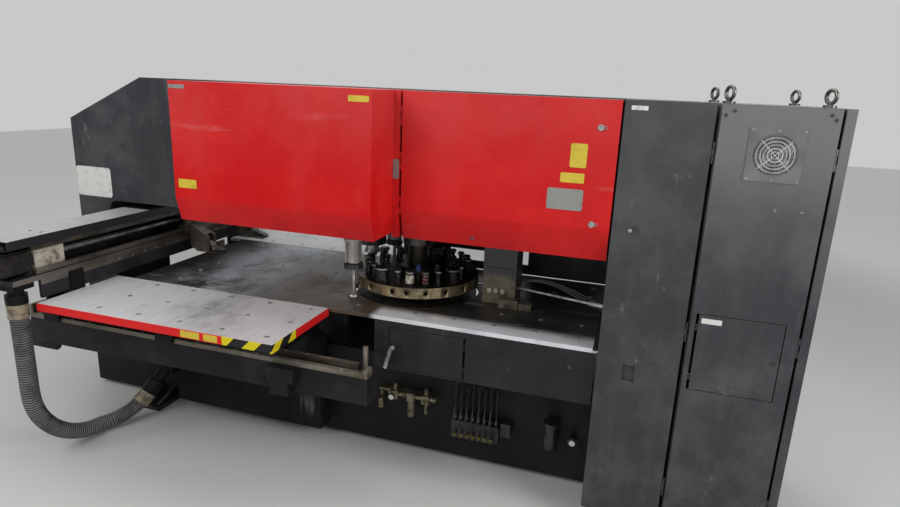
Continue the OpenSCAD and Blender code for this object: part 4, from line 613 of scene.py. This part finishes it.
machined = bare_steel("machined_steel", (0.48, 0.48, 0.47), (0.20, 0.195, 0.18), 0.28, 0.7)
tool_steel = bare_steel("tool_steel", (0.060, 0.057, 0.053), (0.020, 0.019, 0.018), 0.26, 0.7)
spring_steel = bare_steel("spring_steel", (0.16, 0.155, 0.145), (0.045, 0.042, 0.038), 0.24, 0.85)
die_steel = bare_steel("die_steel", (0.055, 0.050, 0.045), (0.020, 0.018, 0.016), 0.34, 0.75, 8)
pale_rod = bare_steel("pale_rod", (0.62, 0.62, 0.60), (0.34, 0.33, 0.31), 0.35, 0.2)
cast_brown = bare_steel("cast_brown", (0.16, 0.135, 0.105), (0.055, 0.047, 0.038), 0.42, 0.45, 9, 0.4)
dirty_brass = bare_steel("dirty_brass", (0.21, 0.18, 0.12), (0.050, 0.043, 0.032), 0.32, 0.7, 30)
wear("ball_screw striker front_holder_rod rear_holder_rod index_pin upper_lock lower_lock "
     "electrical_plate hatch_handle table_balls side_balls", machined)
wear("foot_plates valve_bank ram_housing turret_bearings oil_unit servo_motor punches working_punch "
     "column_latch flap_latch dies", tool_steel)
wear("front_jaw rear_jaw working_spring eyebolts", spring_steel)
wear("lower_turret", die_steel)
wear("air_unit", dirty_brass)
wear("locator_rod", pale_rod)
wear("cross_slide work_clamps", cast_brown, 0.0012)

TURRET_X, RIM_R = 0.155, 0.3625


def turret_finish():
    """Brassy, worn rim; the top of the disc and its shaft are black with old oil."""
    f = Finish("turret_rim")
    reach = f.squares(f.maths("SUBTRACT", f.place_on(0), TURRET_X), f.place_on(1))
    on_rim = f.times(f.over(reach, RIM_R ** 2), f.spread(f.facing_up(), 0, 0.2, 1, 0))
    film = f.clouds(9, 6, 0.36, 0.66, roughness=0.72)
    brass = f.mix(film, (0.36, 0.29, 0.165), (0.12, 0.095, 0.060))
    oily = f.mix(f.noise(16, 6), (0.012, 0.011, 0.010), (0.055, 0.046, 0.034))
    f.bump(f.plus(f.noise(160, 3), f.noise(40, 2)), 0.0003, 0.3)
    return f.done(f.mix(on_rim, oily, brass), f.spread(film, 0, 1, 0.28, 0.46), 0.75)


def sleeve_finish():
    """Pale sleeve of the sheet holder between its dark base and head."""
    f = Finish("cylinder_sleeve")
    low, high = (corner[2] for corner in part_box("holder_cylinders"))
    start, stop = (low + share * (high - low) for share in (0.12, 0.62))
    between = f.times(f.over(f.place_on(2), start), f.under(f.place_on(2), stop))
    grime = f.clouds(18, 6, 0.48, 0.70, 0, 0.7, stretch=(1, 1, 0.4))
    dark = (0.030, 0.029, 0.028)
    f.bump(f.noise(90, 3), 0.0003, 0.3)
    return f.done(f.mix(between, dark, f.mix(grime, (0.42, 0.42, 0.40), dark)), 0.35, 0.1)


def post_finish():
    """Charcoal above and greasy tan low down, with cream sensor bodies on its front and left."""
    f = Finish("post_paint")
    x, y, z = (f.place_on(axis) for axis in range(3))
    grime = f.clouds(12, 6, 0.42, 0.66)
    tan = f.mix(grime, (0.170, 0.140, 0.095), (0.045, 0.038, 0.028))
    colour = f.mix(f.spread(z, 1.09, 1.14), tan, (0.028, 0.030, 0.035))
    front_body = f.times(f.times(f.under(y, -0.0925), f.under(z, 1.06)), f.over(z, 1.01))
    left_body = f.under(x, 0.5795)
    f.bump(f.noise(90, 3), 0.0003, 0.3)
    cream = f.mix(grime, (0.50, 0.47, 0.40), (0.20, 0.17, 0.12))
    return f.done(f.mix(f.either(front_body, left_body), colour, cream), 0.38, 0.1)


def guide_finish():
    """Black paint below, oily brown steel for the rails on top."""
    f = Finish("guide_beam_paint")
    body = f.mix(f.clouds(3, 6, 0.42, 0.66), (0.009, 0.009, 0.010), (0.020, 0.020, 0.022))
    oil = f.mix(f.clouds(8, 5, 0.35, 0.7, stretch=(0.3, 1, 1)), (0.22, 0.20, 0.17), (0.07, 0.055, 0.038))
    rails = f.spread(f.place_on(2), 0.7502, 0.7508)
    f.bump(f.noise(90, 3), 0.0004, 0.4)
    return f.done(f.mix(rails, body, oil), f.clouds(20, 4, 0.3, 0.7, 0.35, 0.6), f.times(rails, 0.5), 0.15)


def line_rubber():
    """Black oil lines below the table, grey air lines above it."""
    f = Finish("line_rubber")
    colour = f.mix(f.over(f.place_on(2), TABLE_TOP), grey(0.009), grey(0.11))
    f.bump(f.noise(160, 2), 0.0002, 0.3)
    return f.done(f.mix(f.clouds(40, 3, 0.5, 0.8, 0, 0.4), colour, grey(0.05)), 0.42)


wear("upper_turret", turret_finish())
wear("holder_cylinders", sleeve_finish())
wear("index_housing", post_finish(), 0.0012)
wear("guide_beams", guide_finish(), 0.0012)
wear("service_lines", line_rubber())


# ------------ cream castings
# Cast bearing blocks of the ball screw, bolted to the beam, in cream paint that is
# smeared with grease.
def cream_paint():
    f = Finish("cream_paint")
    grease = f.clouds(11, 6, 0.44, 0.64, roughness=0.7)
    f.bump(f.noise(60, 3), 0.0006, 0.5)
    return f.done(f.mix(grease, (0.56, 0.53, 0.44), (0.16, 0.12, 0.08)), f.spread(grease, 0, 1, 0.5, 0.3))


wear("screw_supports", cream_paint(), 0.0015)


# ------------ rails and their screws
# Ground linear rails on the guide beams and in the carriage beam, screwed down
# through counterbored holes every 120 mm.
class Repeat:
    """A Geometry Nodes tree that puts one made-up shape on every point of a mesh."""

    def __init__(self, name, **inputs):
        self.tree = bpy.data.node_groups.new(name, "GeometryNodeTree")
        face = self.tree.interface
        face.new_socket("Geometry", in_out="OUTPUT", socket_type="NodeSocketGeometry")
        face.new_socket("Points", in_out="INPUT", socket_type="NodeSocketGeometry")
        self.ids = {}
        for label, kind in {**inputs, "Facing": "Rotation"}.items():
            made = face.new_socket(label, in_out="INPUT", socket_type="NodeSocket" + kind)
            self.ids[label] = made.identifier
        self.source = self.tree.nodes.new("NodeGroupInput")
        self.sink = self.tree.nodes.new("NodeGroupOutput")

    def value(self, label):
        return self.source.outputs[label]

    def add(self, kind, inputs=()):
        return add_node(self.tree, "GeometryNode" + kind, inputs)

    def times(self, value, factor):
        return add_node(self.tree, "ShaderNodeMath", {0: value, 1: factor}, operation="MULTIPLY")

    def cylinder(self, sides, radius, depth):
        return self.add("MeshCylinder", {"Vertices": sides, "Radius": radius, "Depth": depth})

    def cone(self, sides, bottom, top, depth):
        return self.add("MeshCone", {"Vertices": sides, "Radius Bottom": bottom, "Radius Top": top,
                                     "Depth": depth})

    def ball(self, segments, rings, radius):
        return self.add("MeshUVSphere", {"Segments": segments, "Rings": rings, "Radius": radius})

    def circle(self, sides, radius):
        return self.add("CurvePrimitiveCircle", {"Resolution": sides, "Radius": radius})

    def wire(self, curve, sides, radius, capped=False):
        """Round wire bent along a curve."""
        return self.add("CurveToMesh", {"Curve": curve, "Profile Curve": self.circle(sides, radius),
                                        "Fill Caps": capped})

    def raised(self, shape, height):
        lift = add_node(self.tree, "ShaderNodeCombineXYZ", {2: height})
        return self.add("Transform", {"Geometry": shape, "Translation": lift})

    def solid(self, shape, material, smooth=False):
        if smooth:
            shape = self.add("SetShadeSmooth", {"Geometry": shape})
        return self.add("SetMaterial", {"Geometry": shape, "Material": material})

    def finish(self, shapes):
        """Joins the shapes and puts them on the points, turned the way of the Facing input."""
        whole = self.add("JoinGeometry", {"Geometry": shapes})
        whole = self.add("Transform", {"Geometry": whole, "Rotation": self.value("Facing")})
        spots = self.add("InstanceOnPoints", {"Points": self.value("Points"), "Instance": whole})
        put(self.tree, self.sink.inputs[0], self.add("RealizeInstances", {"Geometry": spots}))
        return self

    def make(self, name, points, body, slot, **values):
        """The piece that the tree makes on these points, as a mesh that rides on a body."""
        mesh = bpy.data.meshes.new(name)
        mesh.from_pydata([tuple(p) for p in points], [], [])
        seed = show(name + "_points", mesh)
        pattern = seed.modifiers.new("repeat", "NODES")
        pattern.node_group = self.tree
        for label, value in values.items():
            pattern[self.ids[label]] = value
        shown = seed.evaluated_get(bpy.context.evaluated_depsgraph_get())
        result = bpy.data.meshes.new_from_object(shown)
        bpy.data.objects.remove(seed)
        piece = show(name, result)
        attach(piece, body)
        return piece


def plastic_and_hole_shade():
    """Black plastic, greyed by dust: the fan's rotor, plugs; also painted shade in the depth of sockets, gaps
    and slots.
    """
    f = Finish("fan_plastic")
    dust = f.clouds(30, 4, 0.4, 0.7)
    f.bump(f.noise(200, 2), 0.0002, 0.3)
    return f.done(f.mix(dust, (0.018, 0.018, 0.019), (0.07, 0.068, 0.064)), 0.5)


def socket_screws():
    """Cap screw whose hexagon socket is a black disc of painted shade; it stands along Z by its head's height.
    """
    g = Repeat("socket_screws", Radius="Float", Height="Float")
    radius, height = g.value("Radius"), g.value("Height")
    head = g.cylinder(16, radius, height)
    rim = g.raised(g.cone(16, radius, g.times(radius, 0.86), g.times(height, 0.2)), g.times(height, 0.5))
    # The socket is a black hexagon disc on the head: painted shade for its depth.
    socket_shade = g.raised(g.cylinder(6, g.times(radius, 0.55), g.times(height, 0.22)), g.times(height, 0.62))
    return g.finish([g.solid(head, machined), g.solid(rim, machined), g.solid(socket_shade, black_plastic_and_hole_shade)])


UPWARD, FORWARD, INWARD = (0, 0, 0), (math.pi / 2, 0, 0), (0, math.pi / 2, 0)
GUIDE_Y, RAIL_OFFSET, RAIL_TOP, HOLE_PITCH = 0.815, 0.044, 0.7765, 0.12
FLANGE_FACE, FLANGE_MIDDLE, SADDLE_HALF = -1.590, 1.046, 0.24
black_plastic_and_hole_shade = plastic_and_hole_shade()
screws = socket_screws()
rail_points = [(-1.84 + i * HOLE_PITCH, side * (GUIDE_Y + out), RAIL_TOP)
               for side in (-1, 1) for out in (-RAIL_OFFSET, RAIL_OFFSET)
               for i in range(17 if out > 0 else 16)]
screws.make("rail_screws", rail_points, "frame", "machined_steel", Radius=0.0075, Height=0.003, Facing=UPWARD)
flange_points = [(FLANGE_FACE, -1.00 + i * 0.1, FLANGE_MIDDLE) for i in range(21)
                 if abs(abs(-1.00 + i * 0.1) - GUIDE_Y) > SADDLE_HALF]
screws.make("flange_screws", flange_points, "carriage", "machined_steel", Radius=0.006, Height=0.004,
            Facing=INWARD)


# ------------ ball screw
# Long steel screw with a rolled thread, which turns in its bearing blocks inside the
# beam and drives the cross slide.
def wound_wire():
    """Round wire wound on a cylinder, standing along Z: the screw's thread and coil springs."""
    g = Repeat("wound_wire", Coil="Float", Wire="Float", Rise="Float", Turns="Float", Colour="Material")
    coil = g.value("Coil")
    helix = g.add("CurveSpiral", {"Resolution": 14, "Rotations": g.value("Turns"), "Start Radius": coil,
                                  "End Radius": coil, "Height": g.value("Rise")})
    return g.finish([g.solid(g.wire(helix, 6, g.value("Wire"), capped=True), g.value("Colour"), True)])


SCREW_X, SCREW_Z, SCREW_LEAD, BARE_END = -1.683, 1.164, 0.020, 0.06
coils = wound_wire()
screw_low, screw_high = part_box("ball_screw")
thread_start = screw_low[1] + BARE_END
thread_length = screw_high[1] - BARE_END - thread_start
coils.make("screw_thread", [(SCREW_X, thread_start, SCREW_Z)], "screw", "dark_steel", Coil=0.0150,
           Wire=0.0019, Rise=thread_length, Turns=thread_length / SCREW_LEAD, Colour=tool_steel,
           Facing=(-math.pi / 2, 0, 0))


# ------------ ball transfers
# Steel balls that turn freely in pressed cups let into the tables; each has a
# rolled rim, and the gap round the ball is a black disc of painted shade.
def ball_transfers():
    g = Repeat("ball_transfers", Rim="Float", Ball="Float")
    rim_r, ball_r = g.value("Rim"), g.value("Ball")
    rim = g.wire(g.circle(24, g.times(rim_r, 0.82)), 8, g.times(rim_r, 0.14))
    plate = g.cylinder(24, rim_r, 0.0016)
    # The gap round the ball is a black disc: painted shade.
    gap = g.cylinder(24, g.times(rim_r, 0.74), 0.0022)
    ball = g.raised(g.ball(16, 10, ball_r), g.times(ball_r, -0.58))
    return g.finish([g.solid(rim, machined, True), g.solid(plate, machined), g.solid(gap, black_plastic_and_hole_shade),
                     g.solid(ball, machined, True)])


BALL_Z = TABLE_TOP + 0.0005
balls = ball_transfers()
fixed_balls = [(-1.215 + i * 0.197, -0.066 - row * 0.182, BALL_Z) for i in range(6) for row in range(3)]
fixed_balls += [(-1.215 + 6 * 0.197, -0.066 - 0.364, BALL_Z)]
fixed_balls += [(0.305 + i * 0.215, -0.43, BALL_Z) for i in range(5)]
fixed_balls += [(0.305 + i * 0.215, -0.248, BALL_Z) for i in range(2, 5)]
travelling_balls = [(-1.235 + i * 0.25, -0.598 - row * 0.205, BALL_Z) for i in range(5) for row in range(3)]
for name, points, body, node in (("fixed_table_balls", fixed_balls, "frame", "table_balls"),
                                 ("side_table_balls", travelling_balls, "carriage", "side_balls")):
    both_sides = points + [(x, -y, z) for x, y, z in points]
    piece = balls.make(name, both_sides, body, "machined_steel", Rim=0.013, Ball=0.0072, Facing=UPWARD)
    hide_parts(node)


# ------------ punch springs and heads
# Each guide carries a coil spring under its punch head; a few springs are painted,
# some inner heads wear a cap screwed on them, and all of them glisten with oil.
def enamel(name, colour, worn, band=None):
    """Paint with worn patches; band is the colour of its rings, 22 mm apart."""
    f = Finish(name)
    patches = f.clouds(40, 4, 0.5, 0.66)
    if band:
        colour = f.mix(f.over(f.turns(f.place_on(2), 0.022), 0.5), colour, band)
    f.bump(f.noise(120, 2), 0.0002, 0.3)
    return f.done(f.mix(patches, colour, worn), 0.42)


def on_station(angle, reach, z):
    """Point round the turret's axis; angle is in degrees from +X."""
    a = math.radians(angle)
    return TURRET_X + reach * math.cos(a), reach * math.sin(a), z


def lathe(bm, profile, centre, sides=24):
    """Turns (radius, height) points round a vertical axis; both ends are closed."""
    x, y, z = centre
    skin(bm, [[bm.verts.new((x + r * math.cos(t), y + r * math.sin(t), z + rise))
               for t in full_turn(sides)] for r, rise in profile])


# Angle of each outer station in degrees, and the radius of its punch in mm.
STATIONS = ((199, 14), (217, 20), (233, 14), (248, 38), (268, 14), (281, 19), (298, 17), (312, 14),
            (331, 34), (345, 14), (17, 14), (33, 20), (48, 14), (63, 14), (87, 38), (100, 14), (117, 20),
            (135, 14), (155, 24))
STATION_R, INNER_R = 0.300, 0.215
GUIDE_TOP, HEAD_Z, INNER_TOP, OUTER_TOP = 1.070, 1.122, 1.1221, 1.130
SPRING_Z = GUIDE_TOP + 0.0022
blue_enamel = enamel("blue_enamel", (0.03, 0.12, 0.36), (0.02, 0.03, 0.06))
cream_enamel = enamel("cream_enamel", (0.60, 0.57, 0.47), (0.26, 0.21, 0.14))
red_enamel = enamel("red_enamel", (0.42, 0.02, 0.02), (0.12, 0.03, 0.02), (0.50, 0.47, 0.40))
painted = {298: red_enamel, 117: blue_enamel}
springs = {}
for angle, punch_r in STATIONS:
    alike = springs.setdefault((punch_r, painted.get(angle, spring_steel)), [])
    alike.append(on_station(angle, STATION_R, SPRING_Z))
for i, ((punch_r, coat), spots) in enumerate(springs.items()):
    coils.make(f"punch_springs_{i}", spots, "upper_turret", "machined_steel", Coil=(punch_r - 1) / 1000,
               Wire=0.0019, Rise=HEAD_Z - GUIDE_TOP - 0.0044, Turns=4.5, Colour=coat, Facing=UPWARD)
coils.make("inner_springs", [on_station(angle, INNER_R, SPRING_Z) for angle in range(20, 351, 30)],
           "upper_turret", "machined_steel", Coil=0.011, Wire=0.0017, Rise=0.0275, Turns=4.5,
           Colour=spring_steel, Facing=UPWARD)

# The caps are a collar with a nut; only the inner heads have them, clear of the striker.
CAP_R = 0.0165
for name, angles, rise, finish in (
        ("steel_caps", (230, 350, 20, 80, 140, 320), 0.030, tool_steel),
        ("tall_caps", (200, 50), 0.052, tool_steel),
        ("blue_caps", (290, 110), 0.030, blue_enamel)):
    bm = bmesh.new()
    for angle in angles:
        lathe(bm, [(CAP_R * 0.98, 0), (CAP_R, 0.002), (CAP_R, rise * 0.55), (CAP_R * 0.82, rise * 0.6),
                   (CAP_R * 0.82, rise - 0.002), (CAP_R * 0.74, rise)], on_station(angle, INNER_R, INNER_TOP))
    place(bm, name, "upper_turret", finish)
bm = bmesh.new()
for angle, punch_r in STATIONS:
    r = (punch_r + 5) / 1000
    lathe(bm, [(r, 0), (r + 0.0014, 0.001), (r + 0.0014, 0.005), (r, 0.006)],
          on_station(angle, STATION_R, OUTER_TOP))
place(bm, "head_rims", "upper_turret", machined)
bm = bmesh.new()
lathe(bm, [(0.0215, 0), (0.0235, 0.003), (0.0235, 0.040), (0.0215, 0.044), (0.0215, 0.048)],
      on_station(281, STATION_R, GUIDE_TOP + 0.0005))
place(bm, "cream_sleeve", "upper_turret", cream_enamel)


# ------------ fan
# Black plastic rotor behind a finger guard of bright wire rings, which is screwed to
# the door over a painted plate.
FAN_X, FAN_Z, GUARD_R, GUARD_FACE = 1.877, 1.918, 0.081, -0.5775


def guard_finish():
    """Door paint on the plate, bright zinc on the wires inside its opening."""
    f = Finish("fan_guard_paint")
    reach = f.squares(f.maths("SUBTRACT", f.place_on(0), FAN_X), f.maths("SUBTRACT", f.place_on(2), FAN_Z))
    wires = f.under(reach, GUARD_R ** 2)
    paint = f.mix(f.clouds(6, 6, 0.35, 0.65), (0.10, 0.10, 0.105), (0.15, 0.152, 0.157))
    f.bump(f.noise(120, 3), 0.0002, 0.3)
    return f.done(f.mix(wires, paint, grey(0.42)), 0.42, f.times(wires, 0.5))


def wire_guard(radii):
    """Concentric wire rings, standing along Z."""
    g = Repeat("wire_guard", Wire="Float")
    rings = g.add("JoinGeometry", {"Geometry": [g.circle(40, r) for r in radii]})
    return g.finish([g.solid(g.wire(rings, 6, g.value("Wire")), machined, True)])


wear("fan_rotor", black_plastic_and_hole_shade)
wear("fan_frame", guard_finish())
wire_guard([0.014 + i * 0.0055 for i in range(12)]).make(
    "guard_rings", [(FAN_X, GUARD_FACE, FAN_Z)], "cabinet_door", "machined_steel", Wire=0.0011, Facing=FORWARD)


# ------------ plates on the covers
# Blank aluminium and yellow plates riveted on the covers, and a blank white sheet
# in a sleeve on the frame's left shoulder. All of them are bare.
def plate_finish(name, colour, roughness, metallic=0.0):
    f = Finish(name)
    f.bump(f.noise(300, 2), 0.0001, 0.3)
    dirty = tuple(c * 0.45 for c in colour)
    return f.done(f.coat(colour, f.clouds(30, 5, 0.52, 0.75), 0.6, dirty), roughness, metallic)


def flat_plate(name, across, upward, face, body, finish, riveted):
    """Thin plate with rounded corners on a front face; across and upward are its limits in x and z."""
    bm = bmesh.new()
    (x0, x1), (z0, z1) = across, upward
    corner = min(x1 - x0, z1 - z0) * 0.10
    left, right, low, high = x0 + corner, x1 - corner, z0 + corner, z1 - corner
    outline = []
    for x, z, start in ((right, high, 0), (left, high, 90), (left, low, 180), (right, low, 270)):
        for t in (math.radians(start + k * 22.5) for k in range(5)):
            outline.append((x + corner * math.cos(t), z + corner * math.sin(t)))
    front, back = ([bm.verts.new((x, face - off, z)) for x, z in outline] for off in (PLATE, 0.0001))
    skin(bm, [back, front])
    if riveted:
        for x in (left, right):
            for z in (low, high):
                dome = bmesh.ops.create_uvsphere(bm, u_segments=10, v_segments=6, radius=0.0024)
                bmesh.ops.translate(bm, verts=dome["verts"], vec=(x, face - PLATE, z))
    place(bm, name, body, finish)


PLATE = 0.0012
HOOD_FACE, DOOR_FACE, SHOULDER_FACE = -0.825, -0.575, -0.245
EDGE_FACE, EDGE_BAND = edges_low[1], (edges_low[2] + 0.004, edges_high[2] - 0.003)
yellow = plate_finish("yellow_plate", (0.56, 0.42, 0.03), 0.45)
silver = plate_finish("silver_plate", (0.24, 0.24, 0.23), 0.40, 0.3)
white_sheet = plate_finish("white_sheet", (0.62, 0.62, 0.60), 0.55)
for plate in (
        ("door_plate_upper", (1.062, 1.135), (1.809, 1.915), DOOR_FACE, "red_door", yellow, True),
        ("door_plate_middle", (1.026, 1.132), (1.740, 1.784), DOOR_FACE, "red_door", yellow, True),
        ("door_plate_lower", (0.973, 1.134), (1.615, 1.712), DOOR_FACE, "red_door", silver, True),
        ("hood_plate_left", (-0.836, -0.730), (1.590, 1.634), HOOD_FACE, "frame", yellow, True),
        ("hood_plate_top", (0.101, 0.202), (2.052, 2.079), HOOD_FACE, "frame", yellow, True),
        ("hood_strip", (-0.857, -0.766), (2.072, 2.090), HOOD_FACE, "frame", silver, False),
        ("hinge_strip_plate", (0.217, 0.248), (1.689, 1.784), DOOR_FACE, "frame", silver, False),
        ("shoulder_sheet", (-2.137, -1.861), (1.352, 1.543), SHOULDER_FACE, "frame", white_sheet, True),
        ("edge_plate_left", (-0.665, -0.556), EDGE_BAND, EDGE_FACE, "carriage", yellow, False),
        ("edge_plate_right", (-0.533, -0.455), EDGE_BAND, EDGE_FACE, "carriage", yellow, False),
        ("column_label", (1.300, 1.368), (2.070, 2.088), DOOR_FACE, "column_door", white_sheet, False),
        ("flap_label", (1.700, 1.784), (1.166, 1.190), DOOR_FACE, "access_flap", white_sheet, False)):
    flat_plate(*plate)


# ------------ screws on the doors
# Cap screws that hold the fan guard and the door fittings, and the jacking
# holes in the corners of the tall doors, closed with black plugs.
def on_front(node):
    """Point a hair in front of the middle of a node's front face."""
    low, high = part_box(node)
    return (low[0] + high[0]) / 2, low[1] - 0.0003, (low[2] + high[2]) / 2


def plugs():
    """Round plastic plug with a domed face, standing along Z."""
    g = Repeat("plugs", Radius="Float")
    radius = g.value("Radius")
    dome = g.add("Transform", {"Geometry": g.ball(16, 8, g.times(radius, 0.8)), "Scale": (1, 1, 0.35)})
    return g.finish([g.solid(g.cylinder(20, radius, 0.002), black_plastic_and_hole_shade), g.solid(dome, black_plastic_and_hole_shade, True)])


def keyholes():
    """Slot of a key lock, a black block of painted shade, in its raised ring, standing along Z."""
    g = Repeat("keyholes", Radius="Float")
    radius = g.value("Radius")
    ring = g.wire(g.circle(20, radius), 6, g.times(radius, 0.12))
    # The key slot is a black block: painted shade for its depth.
    slot = g.add("MeshCube", {"Size": (0.0022, 0.0090, 0.0010)})
    return g.finish([g.solid(ring, machined, True), g.solid(slot, black_plastic_and_hole_shade)])


guard_points = [(x, -0.5782, z) for z in (2.016, 1.816) for x in (1.783, 1.877, 1.972)]
for name, points, body, radius in (
        ("guard_screws", guard_points, "cabinet_door", 0.0055),
        ("latch_screw", [on_front("column_latch")], "column_latch", 0.0075),
        ("door_screws", [(1.912, -0.5752, 1.694), (2.013, -0.5752, 1.694)], "cabinet_door", 0.006)):
    screws.make(name, points, body, "machined_steel", Radius=radius, Height=0.003, Facing=FORWARD)

plug = plugs()
corner_holes = ((1.704, 2.085), (1.672, 2.067), (2.054, 2.085), (2.072, 2.067))
plug.make("door_plugs", [(x, -0.5755, z) for x, z in corner_holes], "cabinet_door", "dark_steel",
          Radius=0.007, Facing=FORWARD)
plug.make("hood_plug", [(0.626, -0.5530, 1.431)], "red_door", "dark_steel", Radius=0.008, Facing=FORWARD)

keyhole = keyholes()
for lock in ("upper_lock", "lower_lock"):
    keyhole.make(lock + "_key_slot", [on_front(lock)], lock, "machined_steel", Radius=0.0068, Facing=FORWARD)


# ------------ rubber lips
# Black rubber lips that close two slots: under the rear guard, and between the
# right end of the table and the column.
def lip(name, start, end, thickness, drop):
    """Strip with a tapered lower edge that hangs along the line from start to end."""
    bm = bmesh.new()
    start, end = Vector(start), Vector(end)
    across = (end - start).cross(Vector((0, 0, 1))).normalized() * thickness / 2
    section = [(-1, 0), (-1, -drop * 0.7), (-0.35, -drop), (0.35, -drop), (1, -drop * 0.7), (1, 0)]
    skin(bm, [[bm.verts.new(at + across * side + Vector((0, 0, z))) for side, z in section]
              for at in (start, end)])
    place(bm, name, "frame", groove)


GUARD_Y, GUARD_UNDERSIDE = 0.5423, 0.967
END_X, END_BACK_Y, LIP_TOP = 1.2583, 0.535, TABLE_TOP - 0.001
lip("guard_lip", (-0.148, GUARD_Y, GUARD_UNDERSIDE), (1.268, GUARD_Y, GUARD_UNDERSIDE), 0.003, 0.014)
lip("table_end_lip", (END_X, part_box("fixed_table")[0][1] + 0.002, LIP_TOP), (END_X, END_BACK_Y, LIP_TOP),
    0.0250, 0.012)


# ------------ fittings under the table
# Union nuts with coloured collars where the oil lines leave their block, and the
# round dials of the air unit and of the oil filter.
def unions():
    """Hexagon nut, collar and sleeve round a line, standing along Z."""
    g = Repeat("unions", Radius="Float", Collar="Material")
    radius = g.value("Radius")
    collar = g.raised(g.cylinder(16, g.times(radius, 0.88), 0.004), 0.0065)
    sleeve = g.raised(g.cone(16, g.times(radius, 0.75), g.times(radius, 0.5), 0.010), 0.0085)
    return g.finish([g.solid(g.cylinder(6, radius, 0.009), dirty_brass), g.solid(collar, g.value("Collar")),
                     g.solid(sleeve, black_plastic_and_hole_shade)])


def dials():
    """Round gauge: case with a rolled bezel, a white face and a needle, standing along Z."""
    g = Repeat("dials", Radius="Float")
    radius, top = g.value("Radius"), 0.007
    case = g.cylinder(28, radius, top * 2)
    bezel = g.raised(g.wire(g.circle(28, g.times(radius, 0.93)), 8, g.times(radius, 0.09)), top)
    face = g.raised(g.cylinder(28, g.times(radius, 0.84), 0.001), top)
    needle = g.add("Transform", {"Geometry": g.cone(6, 0.0012, 0.0003, g.times(radius, 0.7)),
                                 "Translation": (0, 0, 0.0080), "Rotation": (math.pi / 2, 0, 0.7)})
    return g.finish([g.solid(case, black_plastic_and_hole_shade), g.solid(bezel, machined, True), g.solid(face, white_sheet),
                     g.solid(needle, black_plastic_and_hole_shade)])


UNION_PITCH, BLOCK_TOP = 0.034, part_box("oil_unit")[0][2] + 0.118
front_row = [(0.534 + i * UNION_PITCH, -0.3660, 0.236) for i in range(7)]
top_row = [(0.517 + i * UNION_PITCH, -0.305, BLOCK_TOP) for i in range(8)]
union, dial = unions(), dials()
for name, points, collar, facing in (("front_unions", front_row, yellow, FORWARD),
                                     ("top_unions", top_row, black_plastic_and_hole_shade, UPWARD)):
    union.make(name, points, "frame", "turret_steel", Radius=0.0115, Collar=collar, Facing=facing)
for name, spot in (("air_dial", (0.137, -0.3455, 0.382)), ("oil_dial", (1.182, -0.3300, 0.306))):
    dial.make(name, [spot], "frame", "dark_steel", Radius=0.017, Facing=FORWARD)
